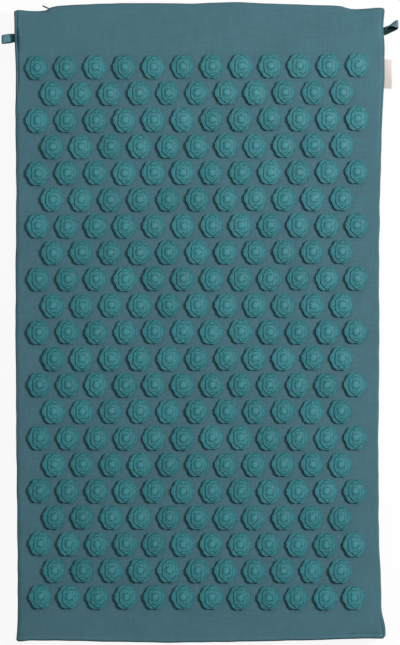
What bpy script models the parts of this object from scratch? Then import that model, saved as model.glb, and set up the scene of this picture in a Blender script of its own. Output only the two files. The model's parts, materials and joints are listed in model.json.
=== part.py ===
"""Acupressure mat: a foam slab in a zipped linen cover, with staggered rows of flower discs.

Metres, +Z up. The mat lies flat: X runs across its width, +Y points to the zipped end,
and the origin is the middle of the face that it lies on.
"""

import math

import bmesh
import bpy
from mathutils import Matrix, Vector

# Cover and foam
COVER_LENGTH = 0.720
WAIST_WIDTH = 0.414
DRAW_IN = 0.0025
EAR_REACH = 0.0020
EAR_LENGTH = 0.026
FABRIC = 0.0008
FOAM_THICKNESS = 0.022
FOAM_SIDE_INSET = 0.0050
FOAM_END_INSET = 0.0070
FOAM_EDGE_RADIUS = 0.009
SEAT_GAP = 0.0003
SIDE_ROLL = 0.010
END_ROLL = 0.016

# Flower discs
ZIP_END_DISC_PITCH = 0.0332
FAR_END_DISC_PITCH = 0.0325
ROW_PITCH = 0.03025
ZIP_END_MARGIN = 0.0636
FAR_END_MARGIN = 0.0500
SIDE_MARGIN = 0.0240
ZIP_END_TILT = math.radians(0.4)
FAR_END_TILT = math.radians(-0.2)
FIELD_SHIFT = -0.0018
DISC_RADIUS = 0.014
DISC_FOOT_RADIUS = 0.0120
DISC_CORE_RADIUS = 0.0070
DISC_VALLEY_RADIUS = 0.0115
PETAL_TIP_HEIGHT = 0.0032
PETAL_VALLEY_HEIGHT = 0.0024
DISC_CORE_HEIGHT = 0.0051
DISC_HEIGHT = 0.0058
LINK_HALF_WIDTH = 0.0006
PETAL_COUNT = 6
RIGHT_END = 0
LEFT_END = PETAL_COUNT // 2 + 1

# Zip in the +Y edge
ZIP_END_SEAM = 0.037
ZIP_FADE = 0.006
ZIP_HALF_GAP = 0.0050
LIP_BULGE = 0.0078
TAPE_THICKNESS = 0.0005
TAPE_RECESS = 0.0045
TAPE_STEPS = 3
TAPE_EDGE_RISE = 0.0008
TAPE_SHELF_RISE = 0.0045
COIL_THICKNESS = 0.0018
COIL_GAP = 0.0010
COIL_WIDTH = 0.0021
COIL_CHAMFER = 0.0004
STOP_LENGTH = 0.0020
STOP_THICKNESS = 0.0008
STOP_INSET = 0.0010
STOP_CLEARANCE = 0.0006

# Zip slider and its pull
SLIDER_LENGTH = 0.0095
SLIDER_WIDTH = 0.0078
SLIDER_PLATE = 0.0010
SLIDER_FLANGE = 0.0010
SLIDER_POST_WIDTH = 0.0004
SLIDER_POST_LENGTH = 0.0018
SLIDER_BEVEL = 0.0003
BRIDGE_LENGTH = 0.0056
BRIDGE_WIDTH = 0.0022
BRIDGE_LEG = 0.0010
BRIDGE_OPENING = 0.0015
BRIDGE_ROOF = 0.0007
PULL_LENGTH = 0.0185
PULL_WIDTH = 0.0058
PULL_THICKNESS = 0.0010
PULL_EYE_LENGTH = 0.0052
PULL_EYE_WIDTH = 0.0034
PULL_BAR = 0.0009
PULL_HOLE_RADIUS = 0.0010
PULL_REST_ANGLE = math.radians(15)

# Hanging loops and side label, sewn into the side seams
LOOP_LENGTH = 0.0155
LOOP_WIDTH = 0.0100
LOOP_RIBBON = 0.0008
LOOP_EYE_HALF_HEIGHT = 0.0026
LOOP_JOIN = 0.0022
LOOP_SPREAD = 0.0032
LOOP_ROOT_HALF = 0.0004
LOOP_TAPER = 0.0012
LEFT_LOOP_FROM_END = 0.034
RIGHT_LOOP_FROM_END = 0.0255
LEFT_LOOP_LEAN = math.radians(-8)
RIGHT_LOOP_LEAN = math.radians(22)
TIP_POINTS = 7
LABEL_REACH = 0.0092
LABEL_LENGTH = 0.0335
LABEL_THICKNESS = 0.0006
LABEL_FROM_END = 0.0742
LABEL_EDGE = 0.0002
SEAM_STANDOFF = 0.0006

CUT_OVERRUN = 0.002
WELD_DISTANCE = 0.00001

# Steps of the fabric's quarter-round roll, from its sewn edge to the flat field
ROLL_ANGLES = [math.radians(degrees) for degrees in (0, 30, 60, 90)]
FIELD_COLUMN_SHARES = (-0.75, -0.45, -0.15, 0.15, 0.45, 0.75)
FIELD_ROW_SHARES = (-0.72, -0.36, 0.0, 0.36, 0.72)

HALF_LENGTH = COVER_LENGTH / 2
ZIP_HALF = WAIST_WIDTH / 2 - ZIP_END_SEAM
ROW_COUNT = 1 + int((COVER_LENGTH - ZIP_END_MARGIN - FAR_END_MARGIN) / ROW_PITCH)
FULL_ROW_COUNT = 1 + int((WAIST_WIDTH - 2 * SIDE_MARGIN) / ZIP_END_DISC_PITCH)
TOP_HEIGHT = 2 * FABRIC + 2 * SEAT_GAP + FOAM_THICKNESS
SEAM_HEIGHT = TOP_HEIGHT / 2

COLOURS = {
    "linen": ((0.083, 0.165, 0.208, 1), 0.95, 0.0),
    "canvas": ((0.070, 0.140, 0.180, 1), 0.95, 0.0),
    "foam": ((0.85, 0.82, 0.70, 1), 1.0, 0.0),
    "disc_plastic": ((0.040, 0.200, 0.215, 1), 0.45, 0.0),
    "zip_tape": ((0.045, 0.095, 0.120, 1), 0.9, 0.0),
    "zip_coil": ((0.040, 0.085, 0.105, 1), 0.5, 0.0),
    "dark_metal": ((0.050, 0.055, 0.060, 1), 0.35, 0.9),
    "loop_ribbon": ((0.070, 0.150, 0.170, 1), 0.95, 0.0),
    "label_satin": ((0.80, 0.74, 0.69, 1), 0.6, 0.0),
}


def clear_scene():
    for obj in list(bpy.data.objects):
        bpy.data.objects.remove(obj, do_unlink=True)


def new_collection(name):
    collection = bpy.data.collections.new(name)
    bpy.context.scene.collection.children.link(collection)
    return collection


def material(name):
    colour, roughness, metallic = COLOURS[name]
    made = bpy.data.materials.get(name)
    if made is None:
        made = bpy.data.materials.new(name)
        made.use_nodes = True
        shader = made.node_tree.nodes["Principled BSDF"]
        shader.inputs["Base Color"].default_value = colour
        shader.inputs["Roughness"].default_value = roughness
        shader.inputs["Metallic"].default_value = metallic
        made.diffuse_color = colour
    return made


def add_object(name, data, finish, parent=None):
    """A named part in the mat's collection, with its material."""
    obj = bpy.data.objects.new(name, data)
    PARTS.objects.link(obj)
    if not data.materials:
        data.materials.append(material(finish))
    obj.parent = parent or MAT_ORIGIN
    return obj


def add_empty(name, place, parent=None, turn=0.0):
    """An empty that carries pieces, such as one on a joint's axis, turned about Z."""
    empty = bpy.data.objects.new(name, None)
    PARTS.objects.link(empty)
    empty.location = place
    empty.rotation_euler = (0, 0, turn)
    empty.parent = parent
    return empty


def box_mesh(name, low, high):
    """A closed box between two corners."""
    low, high = Vector(low), Vector(high)
    bm = bmesh.new()
    size = high - low
    place = Matrix.Translation((low + high) / 2) @ Matrix.Diagonal((*size, 1))
    bmesh.ops.create_cube(bm, size=1, matrix=place)
    mesh = bpy.data.meshes.new(name)
    bm.to_mesh(mesh)
    bm.free()
    return mesh


def add_helper(name, mesh):
    """A hidden solid that a Boolean joins or cuts."""
    obj = bpy.data.objects.new(name, mesh)
    CUTTERS.objects.link(obj)
    obj.hide_render = True
    obj.display_type = "WIRE"
    return obj


def boolean(obj, helper, operation):
    modifier = obj.modifiers.new(helper.name, "BOOLEAN")
    modifier.operation = operation
    modifier.object = helper
    helper.parent = obj.parent


def face_outwards(bm):
    """Turns every face of a closed body outwards."""
    bm.normal_update()
    bmesh.ops.recalc_face_normals(bm, faces=bm.faces)
    if bm.calc_volume(signed=True) < 0:
        bmesh.ops.reverse_faces(bm, faces=bm.faces)


def bevel(obj, width, segments=1):
    modifier = obj.modifiers.new("edges", "BEVEL")
    modifier.width = width
    modifier.segments = segments
    modifier.limit_method = "ANGLE"
    return modifier


def smooth_step(share):
    share = min(1.0, max(0.0, share))
    return share * share * (3 - 2 * share)


def half_width(y):
    """Half the cover's width at y: drawn in at the waist, flared at the corner ears."""
    along = abs(y) / HALF_LENGTH
    ear = max(0.0, (abs(y) - (HALF_LENGTH - EAR_LENGTH)) / EAR_LENGTH)
    return WAIST_WIDTH / 2 + DRAW_IN * along**3 + EAR_REACH * ear**2


def lip_bulge(x):
    """How far the fabric lip over the zip stands beyond the seam line."""
    inside = max(0.0, 1 - (x / ZIP_HALF) ** 2)
    return LIP_BULGE * inside**0.35


def zip_share(x):
    """1 along the zip's opening, 0 where the seam is sewn shut."""
    return 1 - smooth_step((abs(x) - ZIP_HALF) / ZIP_FADE)


def column_stations():
    """The cover's lengthwise lines, each a side (-1, 0, 1), a roll angle and a place across."""
    inner = [share * ZIP_HALF for share in FIELD_COLUMN_SHARES]
    zip_ends = [-ZIP_HALF - ZIP_FADE, -ZIP_HALF, ZIP_HALF, ZIP_HALF + ZIP_FADE]
    field = [(0, 0, x) for x in sorted(inner + zip_ends)]
    left = [(-1, angle, 0) for angle in ROLL_ANGLES]
    right = [(1, angle, 0) for angle in reversed(ROLL_ANGLES)]
    return left + field + right


def row_stations():
    """The cover's crosswise lines, each an end, a roll angle and a place along."""
    inner = [share * HALF_LENGTH for share in FIELD_ROW_SHARES]
    ears = [EAR_LENGTH - HALF_LENGTH, HALF_LENGTH - EAR_LENGTH]
    field = [(0, 0, y) for y in sorted(inner + ears)]
    front = [(-1, angle, 0) for angle in ROLL_ANGLES]
    back = [(1, angle, 0) for angle in reversed(ROLL_ANGLES)]
    return front + field + back


def cover_point(column, row, is_top, depth):
    """Where a lengthwise and a crosswise line meet, at a depth below the cover's outer face."""
    side, side_angle, across = column
    end, end_angle, along = row
    y = base_y = along
    if end:
        base_y = end * (HALF_LENGTH - END_ROLL * (1 - math.cos(end_angle)))
        y = end * (HALF_LENGTH - depth - (END_ROLL - depth) * (1 - math.cos(end_angle)))
    x = across
    if side:
        x = side * (half_width(base_y) - depth - (SIDE_ROLL - depth) * (1 - math.cos(side_angle)))
    opened = 0.0
    if end == 1:
        y += lip_bulge(x) * math.cos(end_angle / 2)
        opened = zip_share(x)
    edge_gap = SEAT_GAP / 2 + (ZIP_HALF_GAP - SEAT_GAP / 2) * opened
    rise = (math.sin(side_angle) if side else 1.0) * (math.sin(end_angle) if end else 1.0)
    if is_top:
        edge = SEAM_HEIGHT + edge_gap
        return Vector((x, y, edge + (TOP_HEIGHT - depth - edge) * rise))
    edge = SEAM_HEIGHT - edge_gap
    return Vector((x, y, edge - (edge - depth) * rise))


def add_sheet(bm, columns, rows, point_at):
    """A grid sheet whose points are placed by a function of their column and row."""
    known = set(bm.verts)
    bmesh.ops.create_grid(bm, x_segments=columns - 1, y_segments=rows - 1, size=1)
    made = [vertex for vertex in bm.verts if vertex not in known]
    made.sort(key=lambda v: (round(v.co.y, 4), round(v.co.x, 4)))
    for index, vertex in enumerate(made):
        vertex.co = point_at(index % columns, index // columns)
    return made


def border_indices(columns, rows):
    """The places round the border of a sheet, in order."""
    near = list(range(columns))
    right = [columns * j + columns - 1 for j in range(1, rows)]
    far = [columns * (rows - 1) + i for i in reversed(range(columns - 1))]
    left = [columns * j for j in reversed(range(1, rows - 1))]
    return near + right + far + left


def shell_mesh(name, columns, rows, point_at, thickness):
    """A closed shell between an outer sheet and the same sheet at a depth, rims joined."""
    bm = bmesh.new()
    outer = add_sheet(bm, columns, rows, lambda i, j: point_at(i, j, 0.0))
    inner = add_sheet(bm, columns, rows, lambda i, j: point_at(i, j, thickness))
    border = border_indices(columns, rows)
    for before, after in zip(border[-1:] + border, border):
        bm.faces.new((outer[before], outer[after], inner[after], inner[before]))
    face_outwards(bm)
    mesh = bpy.data.meshes.new(name)
    bm.to_mesh(mesh)
    bm.free()
    return mesh


def make_cover():
    """Top and bottom panels, sewn edge to edge except along the zip."""
    columns, rows = column_stations(), row_stations()
    for name, finish, is_top in (("top_panel", "linen", True), ("bottom_panel", "canvas", False)):
        mesh = shell_mesh(
            name,
            len(columns),
            len(rows),
            lambda i, j, depth, top=is_top: cover_point(columns[i], rows[j], top, depth),
            FABRIC,
        )
        add_object(name, mesh, finish)


def make_foam():
    """The foam slab, its edges rounded by the pull of the cover."""
    half_x = WAIST_WIDTH / 2 - FOAM_SIDE_INSET
    half_y = HALF_LENGTH - FOAM_END_INSET
    bottom = FABRIC + SEAT_GAP
    mesh = box_mesh(
        "foam_core",
        (-half_x, -half_y, bottom),
        (half_x, half_y, bottom + FOAM_THICKNESS),
    )
    bevel(add_object("foam_core", mesh, "foam"), FOAM_EDGE_RADIUS, segments=3)


def ring_points(radius, height, start=0.0):
    step = 2 * math.pi / PETAL_COUNT
    angles = [start + step * k for k in range(PETAL_COUNT)]
    return [Vector((radius * math.cos(a), radius * math.sin(a), height)) for a in angles]


def split_for_links(points):
    """Splits the points that face +X and -X in two, as flat ends for a row's links."""
    out = []
    for point in points:
        if abs(point.y) > LINK_HALF_WIDTH:
            out.append(point)
            continue
        shift = Vector((0, math.copysign(LINK_HALF_WIDTH, point.x), 0))
        out += [point - shift, point + shift]
    return out


def add_disc(bm, x, open_sides):
    """One flower disc at x: a foot, a ring of petals and a raised core between them.

    The flat ends named in open_sides stay open. Returns the foot's and the tips' points.
    """
    half_step = math.pi / PETAL_COUNT
    rings = (
        split_for_links(ring_points(DISC_FOOT_RADIUS, 0)),
        split_for_links(ring_points(DISC_RADIUS, PETAL_TIP_HEIGHT)),
        ring_points(DISC_VALLEY_RADIUS, PETAL_VALLEY_HEIGHT, half_step),
        ring_points(DISC_CORE_RADIUS, DISC_CORE_HEIGHT, half_step),
        [Vector((0, 0, DISC_HEIGHT))],
    )
    place = Vector((x, 0, 0))
    made = [[bm.verts.new(place + point) for point in ring] for ring in rings]
    foot, tips, valleys, core, (centre,) = made
    bm.faces.new(foot)
    for end in (RIGHT_END, LEFT_END):
        if end not in open_sides:
            bm.faces.new((foot[end], foot[end + 1], tips[end + 1], tips[end]))
    corner = 0
    for k in range(PETAL_COUNT):
        petal = [tips[corner]]
        if corner in (RIGHT_END, LEFT_END):
            corner += 1
            petal.append(tips[corner])
        after = (corner + 1) % len(foot)
        bm.faces.new([core[k - 1]] + petal + [core[k]])
        bm.faces.new((tips[corner], valleys[k], core[k]))
        bm.faces.new((valleys[k], tips[after], core[k]))
        bm.faces.new((foot[corner], valleys[k], tips[corner]))
        bm.faces.new((foot[corner], foot[after], valleys[k]))
        bm.faces.new((foot[after], tips[after], valleys[k]))
        bm.faces.new((core[k - 1], core[k], centre))
        corner = after
    return foot, tips


def add_link(bm, left, right):
    """A narrow bar from the right end of one disc to the left end of the next."""
    left_foot, left_tips = left
    right_foot, right_tips = right
    start = (
        left_foot[RIGHT_END],
        left_foot[RIGHT_END + 1],
        left_tips[RIGHT_END + 1],
        left_tips[RIGHT_END],
    )
    stop = (
        right_foot[LEFT_END + 1],
        right_foot[LEFT_END],
        right_tips[LEFT_END],
        right_tips[LEFT_END + 1],
    )
    for k in range(len(start)):
        bm.faces.new((start[k - 1], start[k], stop[k], stop[k - 1]))


def row_mesh(name, count, pitch):
    """A row of discs on the fabric, each joined to the next by a narrow link."""
    bm = bmesh.new()
    discs = []
    for k in range(count):
        open_sides = ([LEFT_END] if k > 0 else []) + ([RIGHT_END] if k < count - 1 else [])
        discs.append(add_disc(bm, pitch * (k - (count - 1) / 2), open_sides))
    for left, right in zip(discs, discs[1:]):
        add_link(bm, left, right)
    face_outwards(bm)
    mesh = bpy.data.meshes.new(name)
    bm.to_mesh(mesh)
    bm.free()
    return mesh


def make_disc_rows():
    """Staggered rows: a full row, then one disc fewer set half a pitch over, and so on."""
    first_y = HALF_LENGTH - ZIP_END_MARGIN
    for k in range(ROW_COUNT):
        name = f"flower_row_{k + 1:02d}"
        share = k / (ROW_COUNT - 1)
        pitch = ZIP_END_DISC_PITCH + (FAR_END_DISC_PITCH - ZIP_END_DISC_PITCH) * share
        mesh = row_mesh(name, FULL_ROW_COUNT - k % 2, pitch)
        obj = add_object(name, mesh, "disc_plastic")
        obj.location = (FIELD_SHIFT, first_y - k * ROW_PITCH, TOP_HEIGHT + SEAT_GAP)
        obj.rotation_euler.z = ZIP_END_TILT + (FAR_END_TILT - ZIP_END_TILT) * share


def tape_stations():
    """Places along the zip where its tapes bend with the lips of the cover."""
    return sorted([share * ZIP_HALF for share in FIELD_COLUMN_SHARES] + [-ZIP_HALF, ZIP_HALF])


def tape_point(x, step, side, depth):
    """A point of the tape: beside the coil, up its recess, or out behind the edge of the lip."""
    recess = HALF_LENGTH - TAPE_RECESS
    behind_lip = HALF_LENGTH + lip_bulge(x) - FABRIC - SEAT_GAP
    places = (
        (recess - depth, TAPE_EDGE_RISE),
        (recess - depth, TAPE_SHELF_RISE + depth),
        (behind_lip - depth, ZIP_HALF_GAP + depth),
    )
    y, rise = places[step]
    return Vector((x, y, SEAM_HEIGHT + side * rise))


def make_zip_tapes():
    stations = tape_stations()
    for name, side in (("zip_tape_upper", 1), ("zip_tape_lower", -1)):
        mesh = shell_mesh(
            name,
            len(stations),
            TAPE_STEPS,
            lambda i, j, depth, s=side: tape_point(stations[i], j, s, depth),
            TAPE_THICKNESS,
        )
        add_object(name, mesh, "zip_tape")


COIL_BACK = HALF_LENGTH - TAPE_RECESS + SEAT_GAP
COIL_FRONT = COIL_BACK + COIL_THICKNESS
COIL_HALF = ZIP_HALF - STOP_INSET
COIL_RISE = COIL_GAP / 2 + COIL_WIDTH


def make_zip_coils():
    """The two coil halves, side by side on their tapes with a slot for the slider's post."""
    for name, side in (("zip_coil_upper", 1), ("zip_coil_lower", -1)):
        near, far = sorted((side * COIL_GAP / 2, side * COIL_RISE))
        mesh = box_mesh(
            name,
            (-COIL_HALF, COIL_BACK, SEAM_HEIGHT + near),
            (COIL_HALF, COIL_FRONT, SEAM_HEIGHT + far),
        )
        bevel(add_object(name, mesh, "zip_coil"), COIL_CHAMFER)


def make_zip_stops():
    """Two stops where the zip is closed, and one across both halves where it opens."""
    front = COIL_FRONT + SEAT_GAP
    left = -COIL_HALF
    right = COIL_HALF - STOP_LENGTH
    blocks = (
        ("zip_top_stop_upper", left, COIL_GAP / 2, COIL_RISE),
        ("zip_top_stop_lower", left, -COIL_RISE, -COIL_GAP / 2),
        ("zip_bottom_stop", right, -COIL_RISE, COIL_RISE),
    )
    for name, x, low, high in blocks:
        mesh = box_mesh(
            name,
            (x, front, SEAM_HEIGHT + low),
            (x + STOP_LENGTH, front + STOP_THICKNESS, SEAM_HEIGHT + high),
        )
        bevel(add_object(name, mesh, "dark_metal"), SLIDER_BEVEL)


SLIDER_X = -COIL_HALF + STOP_LENGTH + STOP_CLEARANCE + SLIDER_LENGTH / 2
PLATE_BACK = COIL_FRONT + SEAT_GAP
PLATE_FRONT = PLATE_BACK + SLIDER_PLATE
PULL_AXIS_Y = PLATE_FRONT + BRIDGE_OPENING / 2


def slider_helper(name, low, high):
    """A box of the slider, given from the slider's own origin on the pull's axis."""
    return add_helper(name, box_mesh(name, low, high))


def make_slider():
    """Front and back plates joined by a post between the coils, with flanges and a bridge."""
    pivot = add_empty("zip_slider_origin", (SLIDER_X, PULL_AXIS_Y, SEAM_HEIGHT), MAT_ORIGIN)
    half_x, half_z = SLIDER_LENGTH / 2, SLIDER_WIDTH / 2
    back, front = PLATE_BACK - PULL_AXIS_Y, PLATE_FRONT - PULL_AXIS_Y
    tape_back = HALF_LENGTH - TAPE_RECESS - TAPE_THICKNESS - PULL_AXIS_Y
    rear_front = tape_back - SEAT_GAP
    rear_back = rear_front - SLIDER_PLATE
    mesh = box_mesh("zip_slider", (-half_x, back, -half_z), (half_x, front, half_z))
    slider = add_object("zip_slider", mesh, "dark_metal", pivot)
    bevel(slider, SLIDER_BEVEL)
    into_plate = SLIDER_PLATE / 2
    flange_back = back - COIL_THICKNESS + SEAT_GAP
    rear_half_z = COIL_RISE
    pieces = [
        (
            "rear_plate",
            (-half_x + SLIDER_BEVEL, rear_back, -rear_half_z),
            (half_x - SLIDER_BEVEL, rear_front, rear_half_z),
        ),
        (
            "post",
            (-half_x + SLIDER_BEVEL, rear_back + into_plate, -SLIDER_POST_WIDTH / 2),
            (-half_x + SLIDER_BEVEL + SLIDER_POST_LENGTH, back + into_plate, SLIDER_POST_WIDTH / 2),
        ),
    ]
    for side, name in ((1, "upper_flange"), (-1, "lower_flange")):
        near, far = sorted((side * (half_z - SLIDER_FLANGE), side * (half_z - SLIDER_BEVEL)))
        low = (-half_x + SLIDER_BEVEL, flange_back, near)
        pieces.append((name, low, (half_x - SLIDER_BEVEL, back + into_plate, far)))
    bridge_half = BRIDGE_LENGTH / 2
    roof_low = front + BRIDGE_OPENING
    roof_high = roof_low + BRIDGE_ROOF
    bridge_z = BRIDGE_WIDTH / 2
    pieces.append(
        ("bridge", (-bridge_half, front - into_plate, -bridge_z), (bridge_half, roof_high, bridge_z))
    )
    for name, low, high in pieces:
        boolean(slider, slider_helper(name, low, high), "UNION")
    opening_half = bridge_half - BRIDGE_LEG
    opening = slider_helper(
        "bridge_opening",
        (-opening_half, front, -bridge_z - CUT_OVERRUN),
        (opening_half, roof_low, bridge_z + CUT_OVERRUN),
    )
    boolean(slider, opening, "DIFFERENCE")


def make_pull():
    """The pull tab, hooked under the slider's bridge and resting a little off the zip."""
    axis = (SLIDER_X, PULL_AXIS_Y, SEAM_HEIGHT)
    pivot = add_empty("zip_pull_axis", axis, MAT_ORIGIN, -PULL_REST_ANGLE)
    half_t, half_w = PULL_THICKNESS / 2, PULL_WIDTH / 2
    mesh = box_mesh(
        "zip_pull",
        (-PULL_LENGTH, -half_t, -half_w),
        (PULL_BAR / 2, half_t, half_w),
    )
    pull = add_object("zip_pull", mesh, "dark_metal", pivot)
    eye = slider_helper(
        "pull_eye",
        (-PULL_BAR / 2 - PULL_EYE_LENGTH, -half_t - CUT_OVERRUN, -PULL_EYE_WIDTH / 2),
        (-PULL_BAR / 2, half_t + CUT_OVERRUN, PULL_EYE_WIDTH / 2),
    )
    boolean(pull, eye, "DIFFERENCE")
    hole_bm = bmesh.new()
    hole_x = -PULL_LENGTH + 2 * PULL_HOLE_RADIUS
    turned = Matrix.Translation((hole_x, 0, 0)) @ Matrix.Rotation(math.pi / 2, 4, "X")
    bmesh.ops.create_cone(
        hole_bm,
        cap_ends=True,
        segments=12,
        radius1=PULL_HOLE_RADIUS,
        radius2=PULL_HOLE_RADIUS,
        depth=PULL_THICKNESS + 2 * CUT_OVERRUN,
        matrix=turned,
    )
    hole_mesh = bpy.data.meshes.new("pull_hole")
    hole_bm.to_mesh(hole_mesh)
    hole_bm.free()
    boolean(pull, add_helper("pull_hole", hole_mesh), "DIFFERENCE")


def spread_height(x):
    """Half the height of the loop's ribbon centreline at x from its root."""
    closed = LOOP_RIBBON / 2
    opened = LOOP_EYE_HALF_HEIGHT + LOOP_RIBBON / 2
    return closed + (opened - closed) * smooth_step((x - LOOP_JOIN) / LOOP_SPREAD)


def loop_outline(offset, start):
    """Points round the loop's side view, at an offset from the ribbon's centreline."""
    tip_radius = LOOP_EYE_HALF_HEIGHT + LOOP_RIBBON / 2
    tip_x = LOOP_LENGTH - tip_radius - LOOP_RIBBON / 2
    steps = 5
    side = [start + (tip_x - start) * k / steps for k in range(steps + 1)]
    upper = [Vector((x, spread_height(x) + offset)) for x in side]
    tip = []
    for k in range(1, TIP_POINTS):
        angle = math.pi / 2 - math.pi * k / TIP_POINTS
        radius = tip_radius + offset
        tip.append(Vector((tip_x + radius * math.cos(angle), radius * math.sin(angle))))
    lower = [Vector((point.x, -point.y)) for point in reversed(upper)]
    return upper + tip + lower


def add_outline(curve, points):
    spline = curve.splines.new("POLY")
    spline.points.add(len(points) - 1)
    for target, point in zip(spline.points, points):
        target.co = (point.x, point.y, 0, 1)
    spline.use_cyclic_u = True


def make_loop(name, side, from_end, lean):
    """A folded ribbon with an open eye, sewn in square to the side seam and leaning outwards."""
    y = HALF_LENGTH - from_end
    root = side * (half_width(y + LOOP_WIDTH / 2) + SEAM_STANDOFF)
    pivot = add_empty(f"{name}_axis", (root, y, SEAM_HEIGHT), MAT_ORIGIN)
    curve = bpy.data.curves.new(f"{name}_outline", "CURVE")
    curve.dimensions = "2D"
    curve.fill_mode = "BOTH"
    curve.extrude = LOOP_WIDTH / 2
    outer = loop_outline(LOOP_RIBBON / 2, LOOP_TAPER)
    root_end = [Vector((0, -LOOP_ROOT_HALF)), Vector((0, LOOP_ROOT_HALF))]
    add_outline(curve, root_end + outer)
    inner = loop_outline(-LOOP_RIBBON / 2, LOOP_JOIN + LOOP_SPREAD / 4)
    add_outline(curve, inner)
    profile = bpy.data.objects.new(f"{name}_profile", curve)
    PARTS.objects.link(profile)
    bpy.context.view_layer.update()
    evaluated = profile.evaluated_get(bpy.context.evaluated_depsgraph_get())
    mesh = bpy.data.meshes.new_from_object(evaluated)
    bpy.data.objects.remove(profile, do_unlink=True)
    bm = bmesh.new()
    bm.from_mesh(mesh)
    bmesh.ops.remove_doubles(bm, verts=bm.verts, dist=WELD_DISTANCE)
    for vertex in bm.verts:
        reach, height, across = vertex.co
        vertex.co = (side * reach, across + reach * math.tan(lean), height)
    face_outwards(bm)
    bm.to_mesh(mesh)
    bm.free()
    add_object(name, mesh, "loop_ribbon", pivot)


def make_label():
    """The blank folded label in the right-hand seam."""
    y = HALF_LENGTH - LABEL_FROM_END
    reach_x = half_width(y + LABEL_LENGTH / 2) + SEAM_STANDOFF
    pivot = add_empty("side_label_axis", (reach_x, y, SEAM_HEIGHT), MAT_ORIGIN)
    mesh = box_mesh(
        "side_label",
        (0, -LABEL_LENGTH / 2, -LABEL_THICKNESS / 2),
        (LABEL_REACH, LABEL_LENGTH / 2, LABEL_THICKNESS / 2),
    )
    bevel(add_object("side_label", mesh, "label_satin", pivot), LABEL_EDGE)


clear_scene()
PARTS = new_collection("acupressure_mat")
CUTTERS = new_collection("cutters")
MAT_ORIGIN = add_empty("mat_origin", (0, -LIP_BULGE / 2, 0))
make_foam()
make_cover()
make_disc_rows()
make_zip_tapes()
make_zip_coils()
make_zip_stops()
make_slider()
make_pull()
make_loop("hang_loop_left", -1, LEFT_LOOP_FROM_END, LEFT_LOOP_LEAN)
make_loop("hang_loop_right", 1, RIGHT_LOOP_FROM_END, RIGHT_LOOP_LEAN)
make_label()
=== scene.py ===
"""Acupressure mat: the looks of its linen cover, flower discs, zip, hanging loops and label.

It is laid out as an add-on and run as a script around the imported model. Metres, +Z up:
X runs across the mat, +Y points to its zipped end, and it lies on Z = 0.
"""

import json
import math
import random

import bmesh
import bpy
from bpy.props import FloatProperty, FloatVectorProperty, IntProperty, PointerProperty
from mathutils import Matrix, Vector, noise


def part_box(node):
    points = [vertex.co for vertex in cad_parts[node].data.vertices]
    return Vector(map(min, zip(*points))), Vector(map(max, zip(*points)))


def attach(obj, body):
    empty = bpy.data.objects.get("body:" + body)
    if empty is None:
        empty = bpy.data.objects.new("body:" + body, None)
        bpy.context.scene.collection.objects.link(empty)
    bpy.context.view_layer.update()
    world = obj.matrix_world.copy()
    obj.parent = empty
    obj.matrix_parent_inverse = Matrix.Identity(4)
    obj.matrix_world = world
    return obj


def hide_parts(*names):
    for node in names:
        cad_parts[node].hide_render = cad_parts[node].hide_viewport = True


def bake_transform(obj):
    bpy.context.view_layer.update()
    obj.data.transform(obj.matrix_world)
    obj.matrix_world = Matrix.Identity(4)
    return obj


bl_info = {
    "name": "Acupressure Mat",
    "version": (1, 0, 0),
    "blender": (4, 5, 0),
    "location": "View3D > Sidebar > Mat",
    "description": "Models an acupressure mat's cover, flower discs, zip, loops and label",
    "category": "Object",
}

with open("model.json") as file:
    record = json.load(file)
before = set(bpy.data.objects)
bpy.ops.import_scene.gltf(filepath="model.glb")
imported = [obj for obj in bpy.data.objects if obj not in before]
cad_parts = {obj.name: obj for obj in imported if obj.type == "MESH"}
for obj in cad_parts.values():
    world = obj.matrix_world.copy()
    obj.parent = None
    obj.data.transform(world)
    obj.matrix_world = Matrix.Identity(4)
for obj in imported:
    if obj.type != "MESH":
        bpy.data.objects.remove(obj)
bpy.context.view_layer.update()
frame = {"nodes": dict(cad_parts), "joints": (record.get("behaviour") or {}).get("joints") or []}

ROWS = sorted(name for name in frame["nodes"] if name.startswith("flower_row_"))
TOP_LOW, TOP_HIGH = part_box("top_panel")
BOTTOM_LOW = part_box("bottom_panel")[0]
ZIP_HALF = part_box("zip_tape_upper")[1].x
QUARTER = math.pi / 2
WHITE = (1, 1, 1, 1)

# The cover's outline seen from above: places along an edge, and how far out it lies there
LEFT_EDGE = (
    (-0.366, -0.2079), (-0.350, -0.2064), (-0.332, -0.2058), (-0.271, -0.2061), (-0.203, -0.2067),
    (-0.066, -0.2081), (0.036, -0.2084), (0.162, -0.2076), (0.253, -0.2085), (0.300, -0.2081),
    (0.335, -0.2094), (0.360, -0.2101),
)
RIGHT_EDGE = (
    (-0.366, 0.2135), (-0.350, 0.2130), (-0.333, 0.2093), (-0.316, 0.2087), (-0.248, 0.2063),
    (-0.135, 0.2054), (-0.009, 0.2064), (0.082, 0.2062), (0.218, 0.2091), (0.309, 0.2127),
    (0.344, 0.2109), (0.362, 0.2124),
)
ZIP_EDGE = (
    (-0.214, 0.3562), (-0.205, 0.3562), (-0.190, 0.3555), (-0.1735, 0.3564), (-0.1712, 0.3577),
    (-0.1685, 0.3593), (-0.160, 0.3611), (-0.147, 0.3621), (-0.102, 0.3638), (-0.056, 0.3644),
    (0.000, 0.3640), (0.040, 0.3655), (0.080, 0.3637), (0.137, 0.3621), (0.163, 0.3606),
    (0.168, 0.3592), (0.175, 0.3582), (0.190, 0.3583), (0.203, 0.3592), (0.214, 0.3597),
)
FAR_EDGE = (
    (-0.214, -0.3625), (-0.203, -0.3627), (-0.190, -0.3615), (-0.120, -0.3626), (-0.035, -0.3640),
    (0.000, -0.3638), (0.080, -0.3624), (0.150, -0.3608), (0.185, -0.3594), (0.205, -0.3598),
    (0.214, -0.3596),
)

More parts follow.
